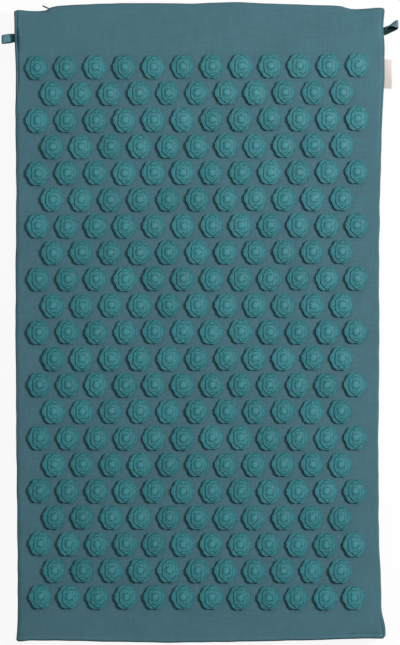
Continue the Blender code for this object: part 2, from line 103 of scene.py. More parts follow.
# How far inside the roll a panel has its closest lines
NEAR_LINES = (0.0007, 0.0014, 0.0021, 0.0029, 0.0038, 0.0049, 0.0063, 0.0082, 0.0108, 0.0142)

# The seams' grooves in the top panel along its left and right sides: side, distance inside the
# outline, depth, and from where to where along the mat
SIDE_GROOVES = (
    (-1, 0.0032, 0.0014, 0.255, 0.380),
    (-1, 0.0026, 0.0007, -0.380, 0.265),
    (1, 0.0030, 0.0009, 0.180, 0.380),
    (1, 0.0042, 0.0010, -0.380, -0.330),
)
GROOVE_FADE = 0.020

# A disc's rings: reach and height of its six petals, then of the places between them, as shares
# of the disc's radius and height, and how narrow the ring is across the mat
FOOT_RING = ((0.95, -0.14), (0.88, -0.14), 0.91)
RIM_RING = ((1.00, 0.52), (0.91, 0.46), 0.91)
UPPER_RINGS = (
    ((0.82, 0.52), (0.83, 0.50), 0.72),
    ((0.74, 0.62), (0.82, 0.67), 0.70),
    ((0.46, 0.66), (0.43, 0.63), 0.70),
)

# The edges drawn into a disc's petals, as grooves in the bump and as dark lines of painted shade: reach,
# notch, turn in degrees, narrowness and strength, as moulded_plastic says
PETAL_GROOVES_AND_SHADE = (
    (0.93, 0.10, 0, 0.87, 0.6),
    (0.85, 0.11, 30, 0.64, 1.0),
    (0.63, 0.13, 0, 0.54, 0.95),
    (0.33, 0.13, 30, 0.80, 0.95),
)

# Where the loops leave the side seams: side and place along the mat. The dent that their stitches
# leave there is centred this far inside the outline, with half of its size along and across the seam
LOOP_SPOTS = ((-1, 0.3235), (1, 0.3325))
DENT_INSET = 0.0028
DENT_HALF = (0.010, 0.0021213)

# Soft creases in the top panel near the zip: place across, and from where to where along
CREASES = (
    (0.0150, 0.318, 0.346),
    (0.0270, 0.338, 0.362),
    (0.0425, 0.330, 0.360),
    (-0.0420, 0.334, 0.352),
)
CREASE_HALF, CREASE_FADE, CREASE_LEAD = 0.0030, 0.010, 0.008

# The cover's uneven waves: their length along its sides and its ends, and over its field
SIDE_WAVE, END_WAVE = 0.021, 0.024
FIELD_WAVES = (0.060, 0.075)

# The puckers beside a seam: their length along it and inwards, and where they fade out
PUCKER_WAVES = (0.008, 0.020)
SIDE_PUCKER_FADE, END_PUCKER_FADE = 0.009, 0.010

# The stitched line's half width by the zip, and the ridge's place and half width by the far end
STITCH_HALF = 0.0009
RIDGE_INSET = 0.0024

# The stitched line across the far right corner: where it starts, over what length it deepens, its
# place inside the outline and its half width, and how many times the stitches' depth it has
CORNER_START, CORNER_FADE, CORNER_INSET, CORNER_HALF, CORNER_DEPTH = 0.150, 0.030, 0.0062, 0.0010, 2

# How much rounder that corner is than the others, and where the tuck at a seam fades, as a sine
FAR_RIGHT_SHARE = 1.5
TUCK_SHARE = 0.12

# The hem's lines along the sides and along the ends
SIDE_HEM_LINES, END_HEM_LINES = 2, 3

# Points round a disc's rim and round its core, and how close points are welded
RIM_POINTS, CORE_POINTS = 18, 12
WELD, FINE_WELD = 0.00005, 0.00001

# The floor's size, and how far below the mat it lies
FLOOR_SIZE, FLOOR_GAP = 8, 0.0003


def smooth(share):
    share = min(1.0, max(0.0, share))
    return share * share * (3 - 2 * share)


def hump(place, middle, half):
    """A bell shape round a middle."""
    return math.exp(-(((place - middle) / half) ** 2))


def between(place, first, last, fade, lead):
    """1 between two places, rising from the first and falling from a lead before the last."""
    return smooth((place - first) / fade) * (1 - smooth((place - last + lead) / fade))


def along_curve(points, place):
    """The height at a place of a smooth curve through points, by cubic Hermite steps."""
    last = len(points) - 1
    k = 0
    while k < last - 1 and place > points[k + 1][0]:
        k += 1
    slopes = []
    for middle in (k, k + 1):
        before, after = points[max(0, middle - 1)], points[min(last, middle + 1)]
        slopes.append((after[1] - before[1]) / (after[0] - before[0]))
    (start, low), (stop, high) = points[k], points[k + 1]
    span = stop - start
    t = min(1.0, max(0.0, (place - start) / span))
    bend = (1 - t) * slopes[0] * span - t * slopes[1] * span + (2 * t - 1) * (high - low)
    return low + (high - low) * t + t * (1 - t) * bend


class Value:
    """A socket of a material's nodes. Sums and products of values add their Math nodes."""

    def __init__(self, nodes, socket):
        self.nodes = nodes
        self.socket = socket

    def maths(self, operation, first, second=0.0):
        return self.nodes.node("ShaderNodeMath", {"operation": operation}, {0: first, 1: second})

    def __add__(self, other):
        return self.maths("ADD", self, other)

    def __radd__(self, other):
        return self.maths("ADD", other, self)

    def __sub__(self, other):
        return self.maths("SUBTRACT", self, other)

    def __rsub__(self, other):
        return self.maths("SUBTRACT", other, self)

    def __mul__(self, other):
        return self.maths("MULTIPLY", self, other)

    def __rmul__(self, other):
        return self.maths("MULTIPLY", other, self)

    def sine(self):
        return self.maths("SINE", self)

    def cosine(self):
        return self.maths("COSINE", self)

    def root(self):
        return self.maths("SQRT", self)

    def angle_over(self, across):
        return self.maths("ARCTAN2", self, across)

    def size(self):
        return self.maths("ABSOLUTE", self)

    def above(self, least):
        return self.maths("MAXIMUM", self, least)

    def clamped(self):
        return self.nodes.node("ShaderNodeClamp", {}, {"Value": self})


class Nodes:
    """A node tree, with one method that adds any node to it."""

    def __init__(self, tree):
        self.tree = tree

    def node(self, kind, settings, inputs, output=0):
        made = self.tree.nodes.new(kind)
        for name, value in settings.items():
            if name == "stops":
                for stop, (place, grey) in zip(made.color_ramp.elements, value):
                    stop.position = place
                    stop.color = (grey, grey, grey, 1)
            else:
                setattr(made, name, value)
        for name, value in inputs.items():
            self.plug(made.inputs[name], value)
        return Value(self, made.outputs[output]) if made.outputs else None

    def plug(self, socket, value):
        if isinstance(value, Value):
            self.tree.links.new(value.socket, socket)
        else:
            socket.default_value = value


class Finish(Nodes):
    """One material's nodes around its Principled shader."""

    def __init__(self, name, roughness, specular=0.5):
        self.material = bpy.data.materials.new(name)
        self.material.use_nodes = True
        super().__init__(self.material.node_tree)
        self.shader = self.tree.nodes["Principled BSDF"]
        self.set("Roughness", roughness)
        self.set("Specular IOR Level", specular)

    def set(self, name, value):
        self.plug(self.shader.inputs[name], value)

    def coordinates(self, kind, scale=(1, 1, 1), turn=0.0):
        source = self.node("ShaderNodeTexCoord", {}, {}, kind)
        if scale == (1, 1, 1) and not turn:
            return source
        return self.node(
            "ShaderNodeMapping", {}, {"Vector": source, "Scale": scale, "Rotation": (0, 0, turn)}
        )

    def grain(self, coordinates, scale=1.0, detail=2.0):
        """Noise about zero, from about -0.5 to 0.5, with scale cells to a unit of the coordinates."""
        inputs = {"Vector": coordinates, "Scale": scale, "Detail": detail}
        return self.node("ShaderNodeTexNoise", {}, inputs) - 0.5

    def parts(self, coordinates):
        """The first two of a point's coordinates, as values."""
        split = self.node("ShaderNodeSeparateXYZ", {}, {"Vector": coordinates})
        return split, Value(self, split.socket.node.outputs[1])

    def attribute(self, name):
        return self.node("ShaderNodeAttribute", {"attribute_name": name}, {}, "Fac")

    def blend(self, factor, first, second):
        """A colour between two others."""
        inputs = {"Factor": factor, 6: first, 7: second}
        return self.node("ShaderNodeMix", {"data_type": "RGBA"}, inputs, 2)

    def streak(self, tone, colour, dark, light):
        """A colour that a tone about zero makes darker or lighter."""
        return self.blend((tone + 0.5).clamped(), shade(colour, dark), shade(colour, light))

    def bump(self, height, distance, strength=1.0):
        inputs = {"Height": height, "Distance": distance, "Strength": strength}
        self.set("Normal", self.node("ShaderNodeBump", {}, inputs))


def shade(colour, factor):
    """A colour made lighter or darker."""
    return (*(channel * factor for channel in colour[:3]), 1)


def woven_cloth(name, colour, pitch, slub=1.0):
    """Plain linen weave: uneven threads both ways, their colour a little streaked, and painted shade
    darkening it along the seams.
    """
    made = Finish(name, roughness=0.92, specular=0.25)
    across, along = made.parts(made.coordinates("UV"))
    turns = 2 * math.pi / pitch
    weave = (across * turns).sine() * (along * turns).sine()
    warp = made.grain(made.coordinates("UV", (1.1 / pitch, 34, 1)), 1, 1)
    weft = made.grain(made.coordinates("UV", (34, 1.1 / pitch, 1)), 1, 1)
    slubs = made.grain(made.coordinates("UV", (620, 46, 1)), 1, 2)
    slubs = slubs + made.grain(made.coordinates("UV", (46, 620, 1)), 1, 2)
    clouds = made.grain(made.coordinates("Object"), 26, 4)
    flecks = made.grain(made.coordinates("UV", (1.4 / pitch, 1.1 / pitch, 1)), 1, 1)
    tone = weave * 0.10 + (warp + weft) * (0.55 * slub) + flecks * 0.5 + clouds * 0.6
    tone = tone + slubs * (0.5 * slub)
    cloth = made.streak(tone, colour, 0.80, 1.20)
    # Painted shade: the seam attribute darkens the cloth towards the seams, where the rolls and creases
    # stand in shade.
    made.set("Base Color", made.blend(made.attribute("seam"), cloth, shade(colour, 0.42)))
    made.set("Roughness", 0.92 - (warp + weft) * 0.08)
    made.bump(weave * 0.35 + (warp + weft) * 0.9, pitch * 0.35, 0.6)
    return made.material


def moulded_plastic(name, groove, face, edges, line):
    """Satin plastic, with painted shade darker down in the grooves that part one petal from the next and
    darker still at its foot, and a painted highlight on its bud.

    The piece's UV map has a disc's middle at zero and its outermost tips at a reach of 1. An edge
    of a ring of petals is its reach, how much less it reaches between petals, its turn, how narrow
    the ring is and how deep the edge.
    """
    made = Finish(name, roughness=0.42, specular=0.42)
    relief = made.attribute("relief")
    dye = made.attribute("dye")
    flow = made.grain(made.coordinates("Object"), 420, 3)
    across, along = made.parts(made.coordinates("UV"))
    wander = made.grain(made.coordinates("Object"), 230, 2) * 0.26
    breaks = (made.grain(made.coordinates("Object"), 340, 1) * 2.4 + 0.85).clamped()
    # The petal edges are painted shade: dark lines in the colour, and grooves in the bump.
    lines = 0.0
    for outermost, notch, turn, narrow, depth in edges:
        wide = across * (1 / narrow)
        reach = (wide * wide + along * along).root() + wander
        lobe = (along.angle_over(wide) * 3 + math.radians(3 * turn)).cosine().size()
        edge = outermost * (1 - notch) + lobe * (outermost * notch)
        near = (1 - (reach - edge).size() * (1 / line)).clamped() * depth
        lines = near.above(lines)
    # Painted highlight: the bud at the disc's middle is lightened.
    bud = (1 - (across * across + along * along) * 40).clamped()
    lines *= breaks
    tone = relief * 0.35 + 0.52 + flow * 0.5 + (dye - 0.5) * 0.24 - lines * 1.25 + bud * 0.35
    # Painted shade: the lower a point on the disc, the nearer its colour comes to the groove colour, as
    # shade in the grooves.
    colour = made.blend(tone.clamped(), groove, face)
    # Painted shade: below the cloth, at its foot, the disc is darker still.
    made.set("Base Color", made.blend((0 - relief).clamped(), colour, shade(groove, 0.30)))
    made.set("Roughness", 0.46 + flow * 0.2)
    made.bump(flow * 0.12 - lines * lines, 0.00035, 0.7)
    return made.material


def twill_tape(name, colour, pitch):
    """Zip tape: fine slanting ribs."""
    made = Finish(name, roughness=0.85, specular=0.25)
    across, along = made.parts(made.coordinates("UV"))
    turns = 2 * math.pi / pitch
    ribs = ((across + along) * turns).sine()
    fuzz = made.grain(made.coordinates("UV"), 900, 2)
    made.set("Base Color", made.streak(ribs * 0.3 + fuzz, colour, 0.7, 1.3))
    made.bump(ribs + fuzz, pitch * 0.2, 0.6)
    return made.material


def ribbed_ribbon(name, colour, pitch, edge):
    """Woven ribbon: ribs across it and a tight selvedge on each side, with painted shade darkening the
    selvedges a little and its back inside its fold much more.
    """
    made = Finish(name, roughness=0.86, specular=0.25)
    across, along = made.parts(made.coordinates("UV"))
    ribs = (along * (2 * math.pi / pitch)).sine()
    selvedge = ((across - 0.5).size() - (0.5 - edge)).above(0.0) * (1 / edge)
    fuzz = made.grain(made.coordinates("Object"), 1500, 2)
    # Painted shade: the selvedge, a real tighter weave in the bump, is also darkened in colour along the
    # ribbon's edges.
    face = made.streak(ribs * 0.22 + fuzz * 0.7 - selvedge * 0.25, colour, 0.7, 1.3)
    # Painted shade: the back of the ribbon inside its fold is made much darker, where the loop's eye stands
    # in shade.
    made.set("Base Color", made.blend(made.attribute("inside"), face, shade(colour, 0.16)))
    made.bump(ribs * 0.5 + fuzz * 0.5 + selvedge, pitch * 0.3, 0.7)
    return made.material


def satin(name, colour, pitch):
    """Label satin: long floats along it with a low gloss, and a heat-cut edge."""
    made = Finish(name, roughness=0.5, specular=0.4)
    _, along = made.parts(made.coordinates("Object"))
    floats = made.grain(made.coordinates("Object", (1 / pitch, 0.16 / pitch, 0.16 / pitch)), 1, 2)
    lines = (along * (2 * math.pi / pitch)).sine()
    made.set("Base Color", made.streak(floats * 0.6 + lines * 0.06, colour, 0.90, 1.08))
    made.set("Roughness", 0.5 + floats * 0.15)
    made.bump(floats + lines * 0.2, pitch * 0.2, 0.5)
    return made.material


def wound_nylon(name, colour):
    made = Finish(name, roughness=0.4)
    clouds = made.grain(made.coordinates("Object"), 1800, 2)
    made.set("Base Color", made.streak(clouds, colour, 0.75, 1.3))
    made.set("Roughness", 0.4 + clouds * 0.2)
    return made.material


def worn_enamel(name, colour, bare):
    """Dark enamel on cast metal, rubbed thin in scattered spots."""
    made = Finish(name, roughness=0.34)
    scuffs = made.grain(made.coordinates("Object"), 620, 5)
    rubbed = ((scuffs - 0.10) * 7).clamped() * 0.35
    made.set("Base Color", made.blend(rubbed, colour, bare))
    made.set("Metallic", rubbed * 0.5 + 0.4)
    made.set("Roughness", 0.34 + scuffs * 0.25)
    made.bump(scuffs, 0.00004, 0.5)
    return made.material


def sewing_thread(name, colour):
    made = Finish(name, roughness=0.7, specular=0.3)
    twist = made.grain(made.coordinates("Object", (1, 3, 3)), 2200, 1)
    made.set("Base Color", made.streak(twist, colour, 0.8, 1.25))
    made.bump(twist, 0.0001, 0.5)
    return made.material


def open_foam(name, colour):
    made = Finish(name, roughness=1.0, specular=0.1)
    cells = made.node("ShaderNodeTexVoronoi", {}, {"Vector": made.coordinates("Object"), "Scale": 900})
    made.set("Base Color", made.blend((cells * 0.9 + 0.2).clamped(), shade(colour, 0.75), colour))
    made.bump(cells, 0.0004, 0.8)
    return made.material


def only(obj):
    """Selects one object alone and makes it the active one."""
    bpy.ops.object.select_all(action="DESELECT")
    obj.select_set(True)
    bpy.context.view_layer.objects.active = obj


def start(name, primitive, scale=(1, 1, 1), **settings):
    """A new piece from one of the mesh primitives."""
    bpy.ops.object.select_all(action="DESELECT")
    primitive(**settings)
    obj = bpy.context.object
    obj.name = name
    obj.scale = scale
    bpy.ops.object.transform_apply(location=True, rotation=True, scale=True)
    return obj


def enter(obj):
    only(obj)
    bpy.ops.object.mode_set(mode="EDIT")
    bpy.ops.mesh.select_all(action="DESELECT")


def leave():
    bpy.ops.object.mode_set(mode="OBJECT")


def face_outward():
    """In edit mode, turns every face of a piece outward."""
    bpy.ops.mesh.select_all(action="SELECT")
    bpy.ops.mesh.normals_make_consistent(inside=False)


def pick(obj, test, kind="verts"):
    """In edit mode, selects the vertices, edges or faces that pass a test, and only those."""
    bpy.ops.mesh.select_all(action="DESELECT")
    bm = bmesh.from_edit_mesh(obj.data)
    for item in getattr(bm, kind):
        if test(item):
            item.select_set(True)
    bm.select_flush_mode()
    bmesh.update_edit_mesh(obj.data)


def modify(obj, kind, **settings):
    """Adds a modifier and applies it."""
    only(obj)
    modifier = obj.modifiers.new(kind.lower(), kind)
    for name, value in settings.items():
        setattr(modifier, name, value)
    bpy.ops.object.modifier_apply(modifier=modifier.name)


def join(name, pieces):
    """Several pieces made one."""
    only(pieces[0])
    for piece in pieces[1:]:
        piece.select_set(True)
    bpy.ops.object.join()
    pieces[0].name = name
    pieces[0].data.name = name
    return pieces[0]


def place(obj, matrix):
    """Puts a piece where a matrix says, in its mesh, with its object left at the origin."""
    obj.data.transform(matrix)
    if matrix.determinant() < 0:
        obj.data.flip_normals()
    obj.data.update()
    return obj


def copy_of(obj, matrix):
    """A copy with its own mesh, placed by a matrix."""
    made = bpy.data.objects.new(obj.name, obj.data.copy())
    bpy.context.collection.objects.link(made)
    return place(made, matrix)


def complete(obj, body, slot, material, *nodes, angle=0.6, bend=None):
    """Gives a piece its finish and its shading, hides the nodes that it stands for, and without a bend
    parents it to its body.

    A piece with a bend gets no body: only whether it has one counts, and its place is baked into its mesh.
    """
    only(obj)
    bpy.ops.object.shade_smooth_by_angle(angle=angle)
    obj.data.materials.clear()
    obj.data.materials.append(material)
    if bend:
        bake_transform(obj)
    else:
        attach(obj, body)
    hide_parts(*nodes)
    return obj


def woven_grid(name, columns, rows, point_at):
    """A grid whose points a function places, with a UV map in metres along the cloth."""
    bpy.ops.object.select_all(action="DESELECT")
    bpy.ops.mesh.primitive_grid_add(x_subdivisions=columns - 1, y_subdivisions=rows - 1, size=2)
    obj = bpy.context.object
    obj.name = name
    mesh = obj.data
    if len(mesh.vertices) != columns * rows:
        raise RuntimeError(f"{name}: the grid has {len(mesh.vertices)} points")
    cells = []
    for vertex in mesh.vertices:
        i = round((vertex.co.x + 1) / 2 * (columns - 1))
        j = round((vertex.co.y + 1) / 2 * (rows - 1))
        cells.append((i, j))
    points = [[point_at(i, j) for i in range(columns)] for j in range(rows)]
    for vertex, (i, j) in zip(mesh.vertices, cells):
        vertex.co = points[j][i]
    across, along = [0.0], [0.0]
    for before, after in zip(points[rows // 2], points[rows // 2][1:]):
        across.append(across[-1] + (after - before).length)
    middle = columns // 2
    for before, after in zip(points, points[1:]):
        along.append(along[-1] + (after[middle] - before[middle]).length)
    layer = mesh.uv_layers.active.data
    for loop in mesh.loops:
        i, j = cells[loop.vertex_index]
        layer[loop.index].uv = (across[i], along[j])
    mesh.update()
    return obj


class Panel:
    """One panel of the cover. Its lines run across and along it, from hem to roll to field.

    A line is a side (-1, 0 or 1), its turn round the roll and its share of the field. The turn
    goes from 0 at the seam to a quarter circle at the field, and is negative in the hem.
    """

    def __init__(self, settings, is_top):
        self.settings = settings
        self.is_top = is_top
        self.flat_z = TOP_HIGH.z if is_top else BOTTOM_LOW.z
        under = settings.under_roll
        self.side_rolls = {
            -1: settings.left_roll if is_top else under,
            1: settings.right_roll if is_top else under,
        }
        self.end_rolls = {
            -1: settings.far_roll if is_top else under,
            1: settings.zip_roll if is_top else under,
        }

    def lines(self, roll_steps, hem_steps, field_count, length):
        """The lines one way: hem and roll, then the field, close together near its edges."""
        edge = [(-k / hem_steps, 0.0) for k in range(hem_steps, 0, -1)]
        edge += [(QUARTER * k / roll_steps, 0.0) for k in range(roll_steps + 1)]
        near = [reach / length for reach in NEAR_LINES]
        middle = [near[-1] + (1 - 2 * near[-1]) * k / field_count for k in range(1, field_count)]
        field = [(0, 0.0, share) for share in near + middle + [1 - share for share in reversed(near)]]
        low = [(-1, turn, share) for turn, share in edge]
        high = [(1, turn, share) for turn, share in reversed(edge)]
        return low + field + high

    def inward(self, line, roll, hem):
        """How far inside the outline a line of a roll or hem lies."""
        turn = max(0.0, line[1])
        tuck = self.settings.crease * math.exp(-math.sin(turn) / TUCK_SHARE)
        return tuck + roll * (1 - math.cos(turn)) + hem * max(0.0, -line[1])

    def side_at(self, side, y):
        """Where the cover's outline lies at y, on one side."""
        edge = along_curve(LEFT_EDGE if side < 0 else RIGHT_EDGE, y)
        wander = noise.noise(Vector((y / SIDE_WAVE, side * 7.3, 1.0))) * self.settings.wander
        return edge + wander + side * self.settings.side_swell

    def end_at(self, end, x):
        """Where the cover's outline lies at x, at one end."""
        edge = along_curve(FAR_EDGE if end < 0 else ZIP_EDGE, x)
        wander = noise.noise(Vector((x / END_WAVE, end * 5.1, 4.0))) * self.settings.wander
        return edge + wander + end * self.settings.end_swell

    def opened(self, x):
        """1 along the zip's opening, 0 where the seam is sewn shut."""
        return 1 - smooth((abs(x) - ZIP_HALF) / self.settings.zip_fade)

    def crosswise(self, column, y):
        side, _, across = column
        if side:
            inward = self.inward(column, self.side_rolls[side], self.settings.hem)
            return self.side_at(side, y) - side * inward
        left, right = (self.side_at(k, y) - k * self.side_rolls[k] for k in (-1, 1))
        return left + (right - left) * across

    def lengthwise(self, row, x):
        settings = self.settings
        end, _, along = row
        if end:
            opened = self.opened(x) if end == 1 else 0
            hem = settings.hem + (settings.zip_hem - settings.hem) * opened
            return self.end_at(end, x) - end * self.inward(row, self.end_rolls[end], hem)
        far, near = (self.end_at(k, x) - k * self.end_rolls[k] for k in (-1, 1))
        return far + (near - far) * along

    def seam_height(self, end, x):
        """The height of the panel's edge: at the seam, or apart from the other panel's at the zip."""
        settings = self.settings
        left, right = LEFT_EDGE[0][1], RIGHT_EDGE[0][1]
        across = smooth((x - left) / (right - left))
        seam = settings.left_seam_z + (settings.right_seam_z - settings.left_seam_z) * across
        gap = settings.seam_gap
        if end == 1:
            share = self.opened(x)
            seam += (TOP_HIGH.z / 2 - seam) * share
            gap += (settings.zip_half_gap - gap) * share
        return seam + gap if self.is_top else seam - gap

    def point(self, column, row):
        side, side_turn, _ = column
        end, end_turn, _ = row
        x = self.crosswise(column, self.lengthwise(row, 0))
        y = self.lengthwise(row, x)
        x, y = self.rounded(x, y, side, end)
        rise = math.sin(max(0.0, side_turn)) if side else 1.0
        rise *= math.sin(max(0.0, end_turn)) if end else 1.0
        edge = self.seam_height(end, x)
        z = edge + (self.flat_z - edge) * rise
        return Vector((x, y, z + self.relief(x, y, rise) if self.is_top else z))

    def rounded(self, x, y, side, end):
        """Rounds the cover's corners."""
        radius = self.settings.corner_radius * (FAR_RIGHT_SHARE if (side, end) == (1, -1) else 1)
        corner_side, corner_end = (1 if x > 0 else -1), (1 if y > 0 else -1)
        edge_x, edge_y = self.side_at(corner_side, y), self.end_at(corner_end, x)
        u = 1 - (edge_x - x) * corner_side / radius
        v = 1 - (edge_y - y) * corner_end / radius
        if u <= 0 or v <= 0:
            return x, y
        u, v = min(u, 1.0), min(v, 1.0)
        x += corner_side * radius * (u * math.sqrt(1 - v * v / 2) - u)
        y += corner_end * radius * (v * math.sqrt(1 - u * u / 2) - v)
        return x, y

    def relief(self, x, y, rise):
        """Puckers beside the seams, soft creases near the zip, and the slack of the field."""
        settings = self.settings
        to_side = min(x - self.side_at(-1, y), self.side_at(1, y) - x)
        to_far, to_zip = y - self.end_at(-1, x), self.end_at(1, x) - y
        height = noise.noise(Vector((x / FIELD_WAVES[0], y / FIELD_WAVES[1], 2.0))) * settings.slack
        short, wide = PUCKER_WAVES
        ripple = noise.noise(Vector((y / short, 0.0, x / wide))) * math.exp(-to_side / SIDE_PUCKER_FADE)
        to_end = min(to_far, to_zip)
        ripple += noise.noise(Vector((x / short, 9.0, y / wide))) * math.exp(-to_end / END_PUCKER_FADE)
        height += ripple * settings.pucker
        for crease_x, first_y, last_y in CREASES:
            near = hump(x, crease_x, CREASE_HALF)
            if near > 0.01:
                inside = between(y, first_y, last_y, CREASE_FADE, CREASE_LEAD)
                height -= settings.crease_depth * near * inside
        height -= settings.stitch_depth * hump(to_zip, settings.stitch_inset, STITCH_HALF)
        height += settings.far_ridge * hump(to_far, RIDGE_INSET, RIDGE_INSET)
        for side, inset, depth, first_y, last_y in SIDE_GROOVES:
            inside = (self.side_at(side, y) - x) * side
            if abs(inside - inset) < 4 * settings.groove_width:
                part = between(y, first_y, last_y, GROOVE_FADE, GROOVE_FADE)
                height -= depth * part * hump(inside, inset, settings.groove_width)
        for side, spot in LOOP_SPOTS:
            inside = (self.side_at(side, y) - x) * side
            pulled = hump(y, spot, DENT_HALF[0]) * hump(inside, DENT_INSET, DENT_HALF[1])
            height -= settings.loop_dent * pulled
        if x > 0:
            corner = smooth((x - CORNER_START) / CORNER_FADE) * hump(to_far, CORNER_INSET, CORNER_HALF)
            height -= settings.stitch_depth * CORNER_DEPTH * corner
        return height * rise


def sew_panel(settings, name, is_top, columns, rows):
    panel = Panel(settings, is_top)
    across = panel.lines(settings.roll_steps, SIDE_HEM_LINES, columns, TOP_HIGH.x - TOP_LOW.x)
    along = panel.lines(settings.roll_steps, END_HEM_LINES, rows, TOP_HIGH.y - TOP_LOW.y)
    obj = woven_grid(name, len(across), len(along), lambda i, j: panel.point(across[i], along[j]))
    # The seam attribute is painted shade: 1 at the panel's edge, fading to 0 inwards.
    seam = obj.data.attributes.new("seam", "FLOAT", "POINT")
    for vertex, value in zip(obj.data.vertices, seam.data):
        x, y = vertex.co.x, vertex.co.y
        to_side = min(x - panel.side_at(-1, y), panel.side_at(1, y) - x)
        to_end = min(y - panel.end_at(-1, x), panel.end_at(1, x) - y)
        inset = min(to_side, to_end)
        value.value = 1 - smooth(inset / settings.painted_seam_shade)
    if not is_top:
        obj.data.flip_normals()
    modify(obj, "SOLIDIFY", thickness=settings.fabric, offset=-1.0)
    return obj


def lip_height(panel, x, inward):
    """The height of a panel's face beside the zip, at a distance inside the outline."""
    edge = panel.seam_height(1, x)
    rise = math.sin(math.acos(max(0.0, 1 - inward / panel.end_rolls[1])))
    height = edge + (panel.flat_z - edge) * rise
    return height + panel.relief(x, panel.end_at(1, x) - inward, rise) if panel.is_top else height


def sew_stitches(settings, is_top):
    """A row of stitches along a lip of the zip's opening."""
    panel = Panel(settings, is_top)
    stitch = start(
        "stitch", bpy.ops.mesh.primitive_cylinder_add,
        vertices=6, radius=settings.thread / 2, depth=settings.stitch_length, rotation=(0, QUARTER, 0),
    )
    enter(stitch)
    pick(stitch, lambda v: abs(v.co.x) > settings.stitch_length / 4)
    bpy.ops.mesh.bevel(offset=settings.thread / 5, segments=1)
    leave()
    pitch = settings.stitch_length * 1.25
    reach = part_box("zip_coil_upper")[1].x
    count = int(2 * reach / pitch)
    copies = []
    for k in range(count):
        x = (k - (count - 1) / 2) * pitch
        y = panel.end_at(1, x) - settings.stitch_inset
        z = lip_height(panel, x, settings.stitch_inset) + settings.thread / (4 if is_top else -4)
        copies.append(copy_of(stitch, Matrix.Translation((x, y, z))))
    bpy.data.objects.remove(stitch)
    return join("lip_stitches_top" if is_top else "lip_stitches_under", copies)


def between_petals(co):
    """Whether a point of a ring lies between two of its six petals."""
    return round(math.degrees(math.atan2(co.y, co.x)) / 10) % 6 == 3


def shape_ring(disc, settings, test, ring):
    """Moves a ring's petals, and the places between them, to their reach and height."""
    petals, between, narrow = ring
    for is_between, (reach, rise) in ((False, petals), (True, between)):
        pick(disc, lambda v: test(v) and between_petals(v.co) == is_between)
        bm = bmesh.from_edit_mesh(disc.data)
        now = next(v.co.copy() for v in bm.verts if v.select)
        factor = reach * settings.radius / math.hypot(now.x, now.y)
        bpy.ops.transform.resize(value=(factor, factor, 1), center_override=(0, 0, 0))
        bpy.ops.transform.translate(value=(0, 0, rise * settings.height - now.z))
    pick(disc, test)
    bpy.ops.transform.resize(value=(narrow, 1, 1), center_override=(0, 0, 0))


def mould_rosette(settings):
    """One flower disc: a ring of six petals, a narrower ring turned half a petal on it, and a bud."""
    radius, height = settings.radius, settings.height
    disc = start(
        "rosette", bpy.ops.mesh.primitive_cylinder_add,
        vertices=RIM_POINTS, radius=radius, depth=height / 2, location=(0, 0, height / 4),
    )
    enter(disc)
    shape_ring(disc, settings, lambda v: v.co.z < height / 4, FOOT_RING)
    shape_ring(disc, settings, lambda v: v.co.z > height / 4, RIM_RING)
    narrow = RIM_RING[2]
    for ring in UPPER_RINGS:
        pick(disc, lambda f: f.normal.z > 0.5 and len(f.verts) >= CORE_POINTS, "faces")
        bpy.ops.mesh.extrude_region_move(TRANSFORM_OT_translate={"value": (0, 0, height / 6)})
        bpy.ops.transform.resize(value=(1 / narrow, 1, 1), center_override=(0, 0, 0))
        bm = bmesh.from_edit_mesh(disc.data)
        chosen = {v.index for v in bm.verts if v.select}
        if len(chosen) == RIM_POINTS:
            for v in bm.verts:
                if v.select and not between_petals(v.co):
                    turn = math.radians(60 * round(math.degrees(math.atan2(v.co.y, v.co.x)) / 60))
                    v.co.xy = math.hypot(v.co.x, v.co.y) * Vector((math.cos(turn), math.sin(turn)))
        shape_ring(disc, settings, lambda v: v.index in chosen, ring)
        narrow = ring[2]
        if len(chosen) == RIM_POINTS:
            pick(disc, lambda v: v.index in chosen)
            bpy.ops.mesh.remove_doubles(threshold=WELD)
    pick(disc, lambda f: f.normal.z > 0.5 and len(f.verts) == CORE_POINTS, "faces")
    bpy.ops.mesh.extrude_region_move(TRANSFORM_OT_translate={"value": (0, 0, 0)})
    bpy.ops.mesh.merge(type="CENTER")
    bm = bmesh.from_edit_mesh(disc.data)
    middle = next(v for v in bm.verts if v.select)
    bpy.ops.transform.translate(value=(0, 0, height - middle.co.z))
    face_outward()
    leave()
    # The relief attribute carries the material's painted shade: height over the disc's height, and -1 below
    # the cloth for its darker foot.
    relief = disc.data.attributes.new("relief", "FLOAT", "POINT")
    for vertex, value in zip(disc.data.vertices, relief.data):
        value.value = -1.0 if vertex.co.z < 0 else vertex.co.z / height
    for loop in disc.data.loops:
        corner = disc.data.vertices[loop.vertex_index].co
        disc.data.uv_layers.active.data[loop.index].uv = (corner.x / radius, corner.y / radius)
    slant = Matrix.Identity(4)
    slant[0][2], slant[1][2] = settings.slant
    return place(disc, slant)


def disc_centres(node):
    """Where a row's discs stand: the highest point of each."""
    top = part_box(node)[1].z
    same_disc = 0.001
    found = []
    for vertex in frame["nodes"][node].data.vertices:
        apart = all((vertex.co - other).length > same_disc for other in found)
        if vertex.co.z > top - WELD and apart:
            found.append(vertex.co.copy())
    return sorted(found, key=lambda point: point.x)


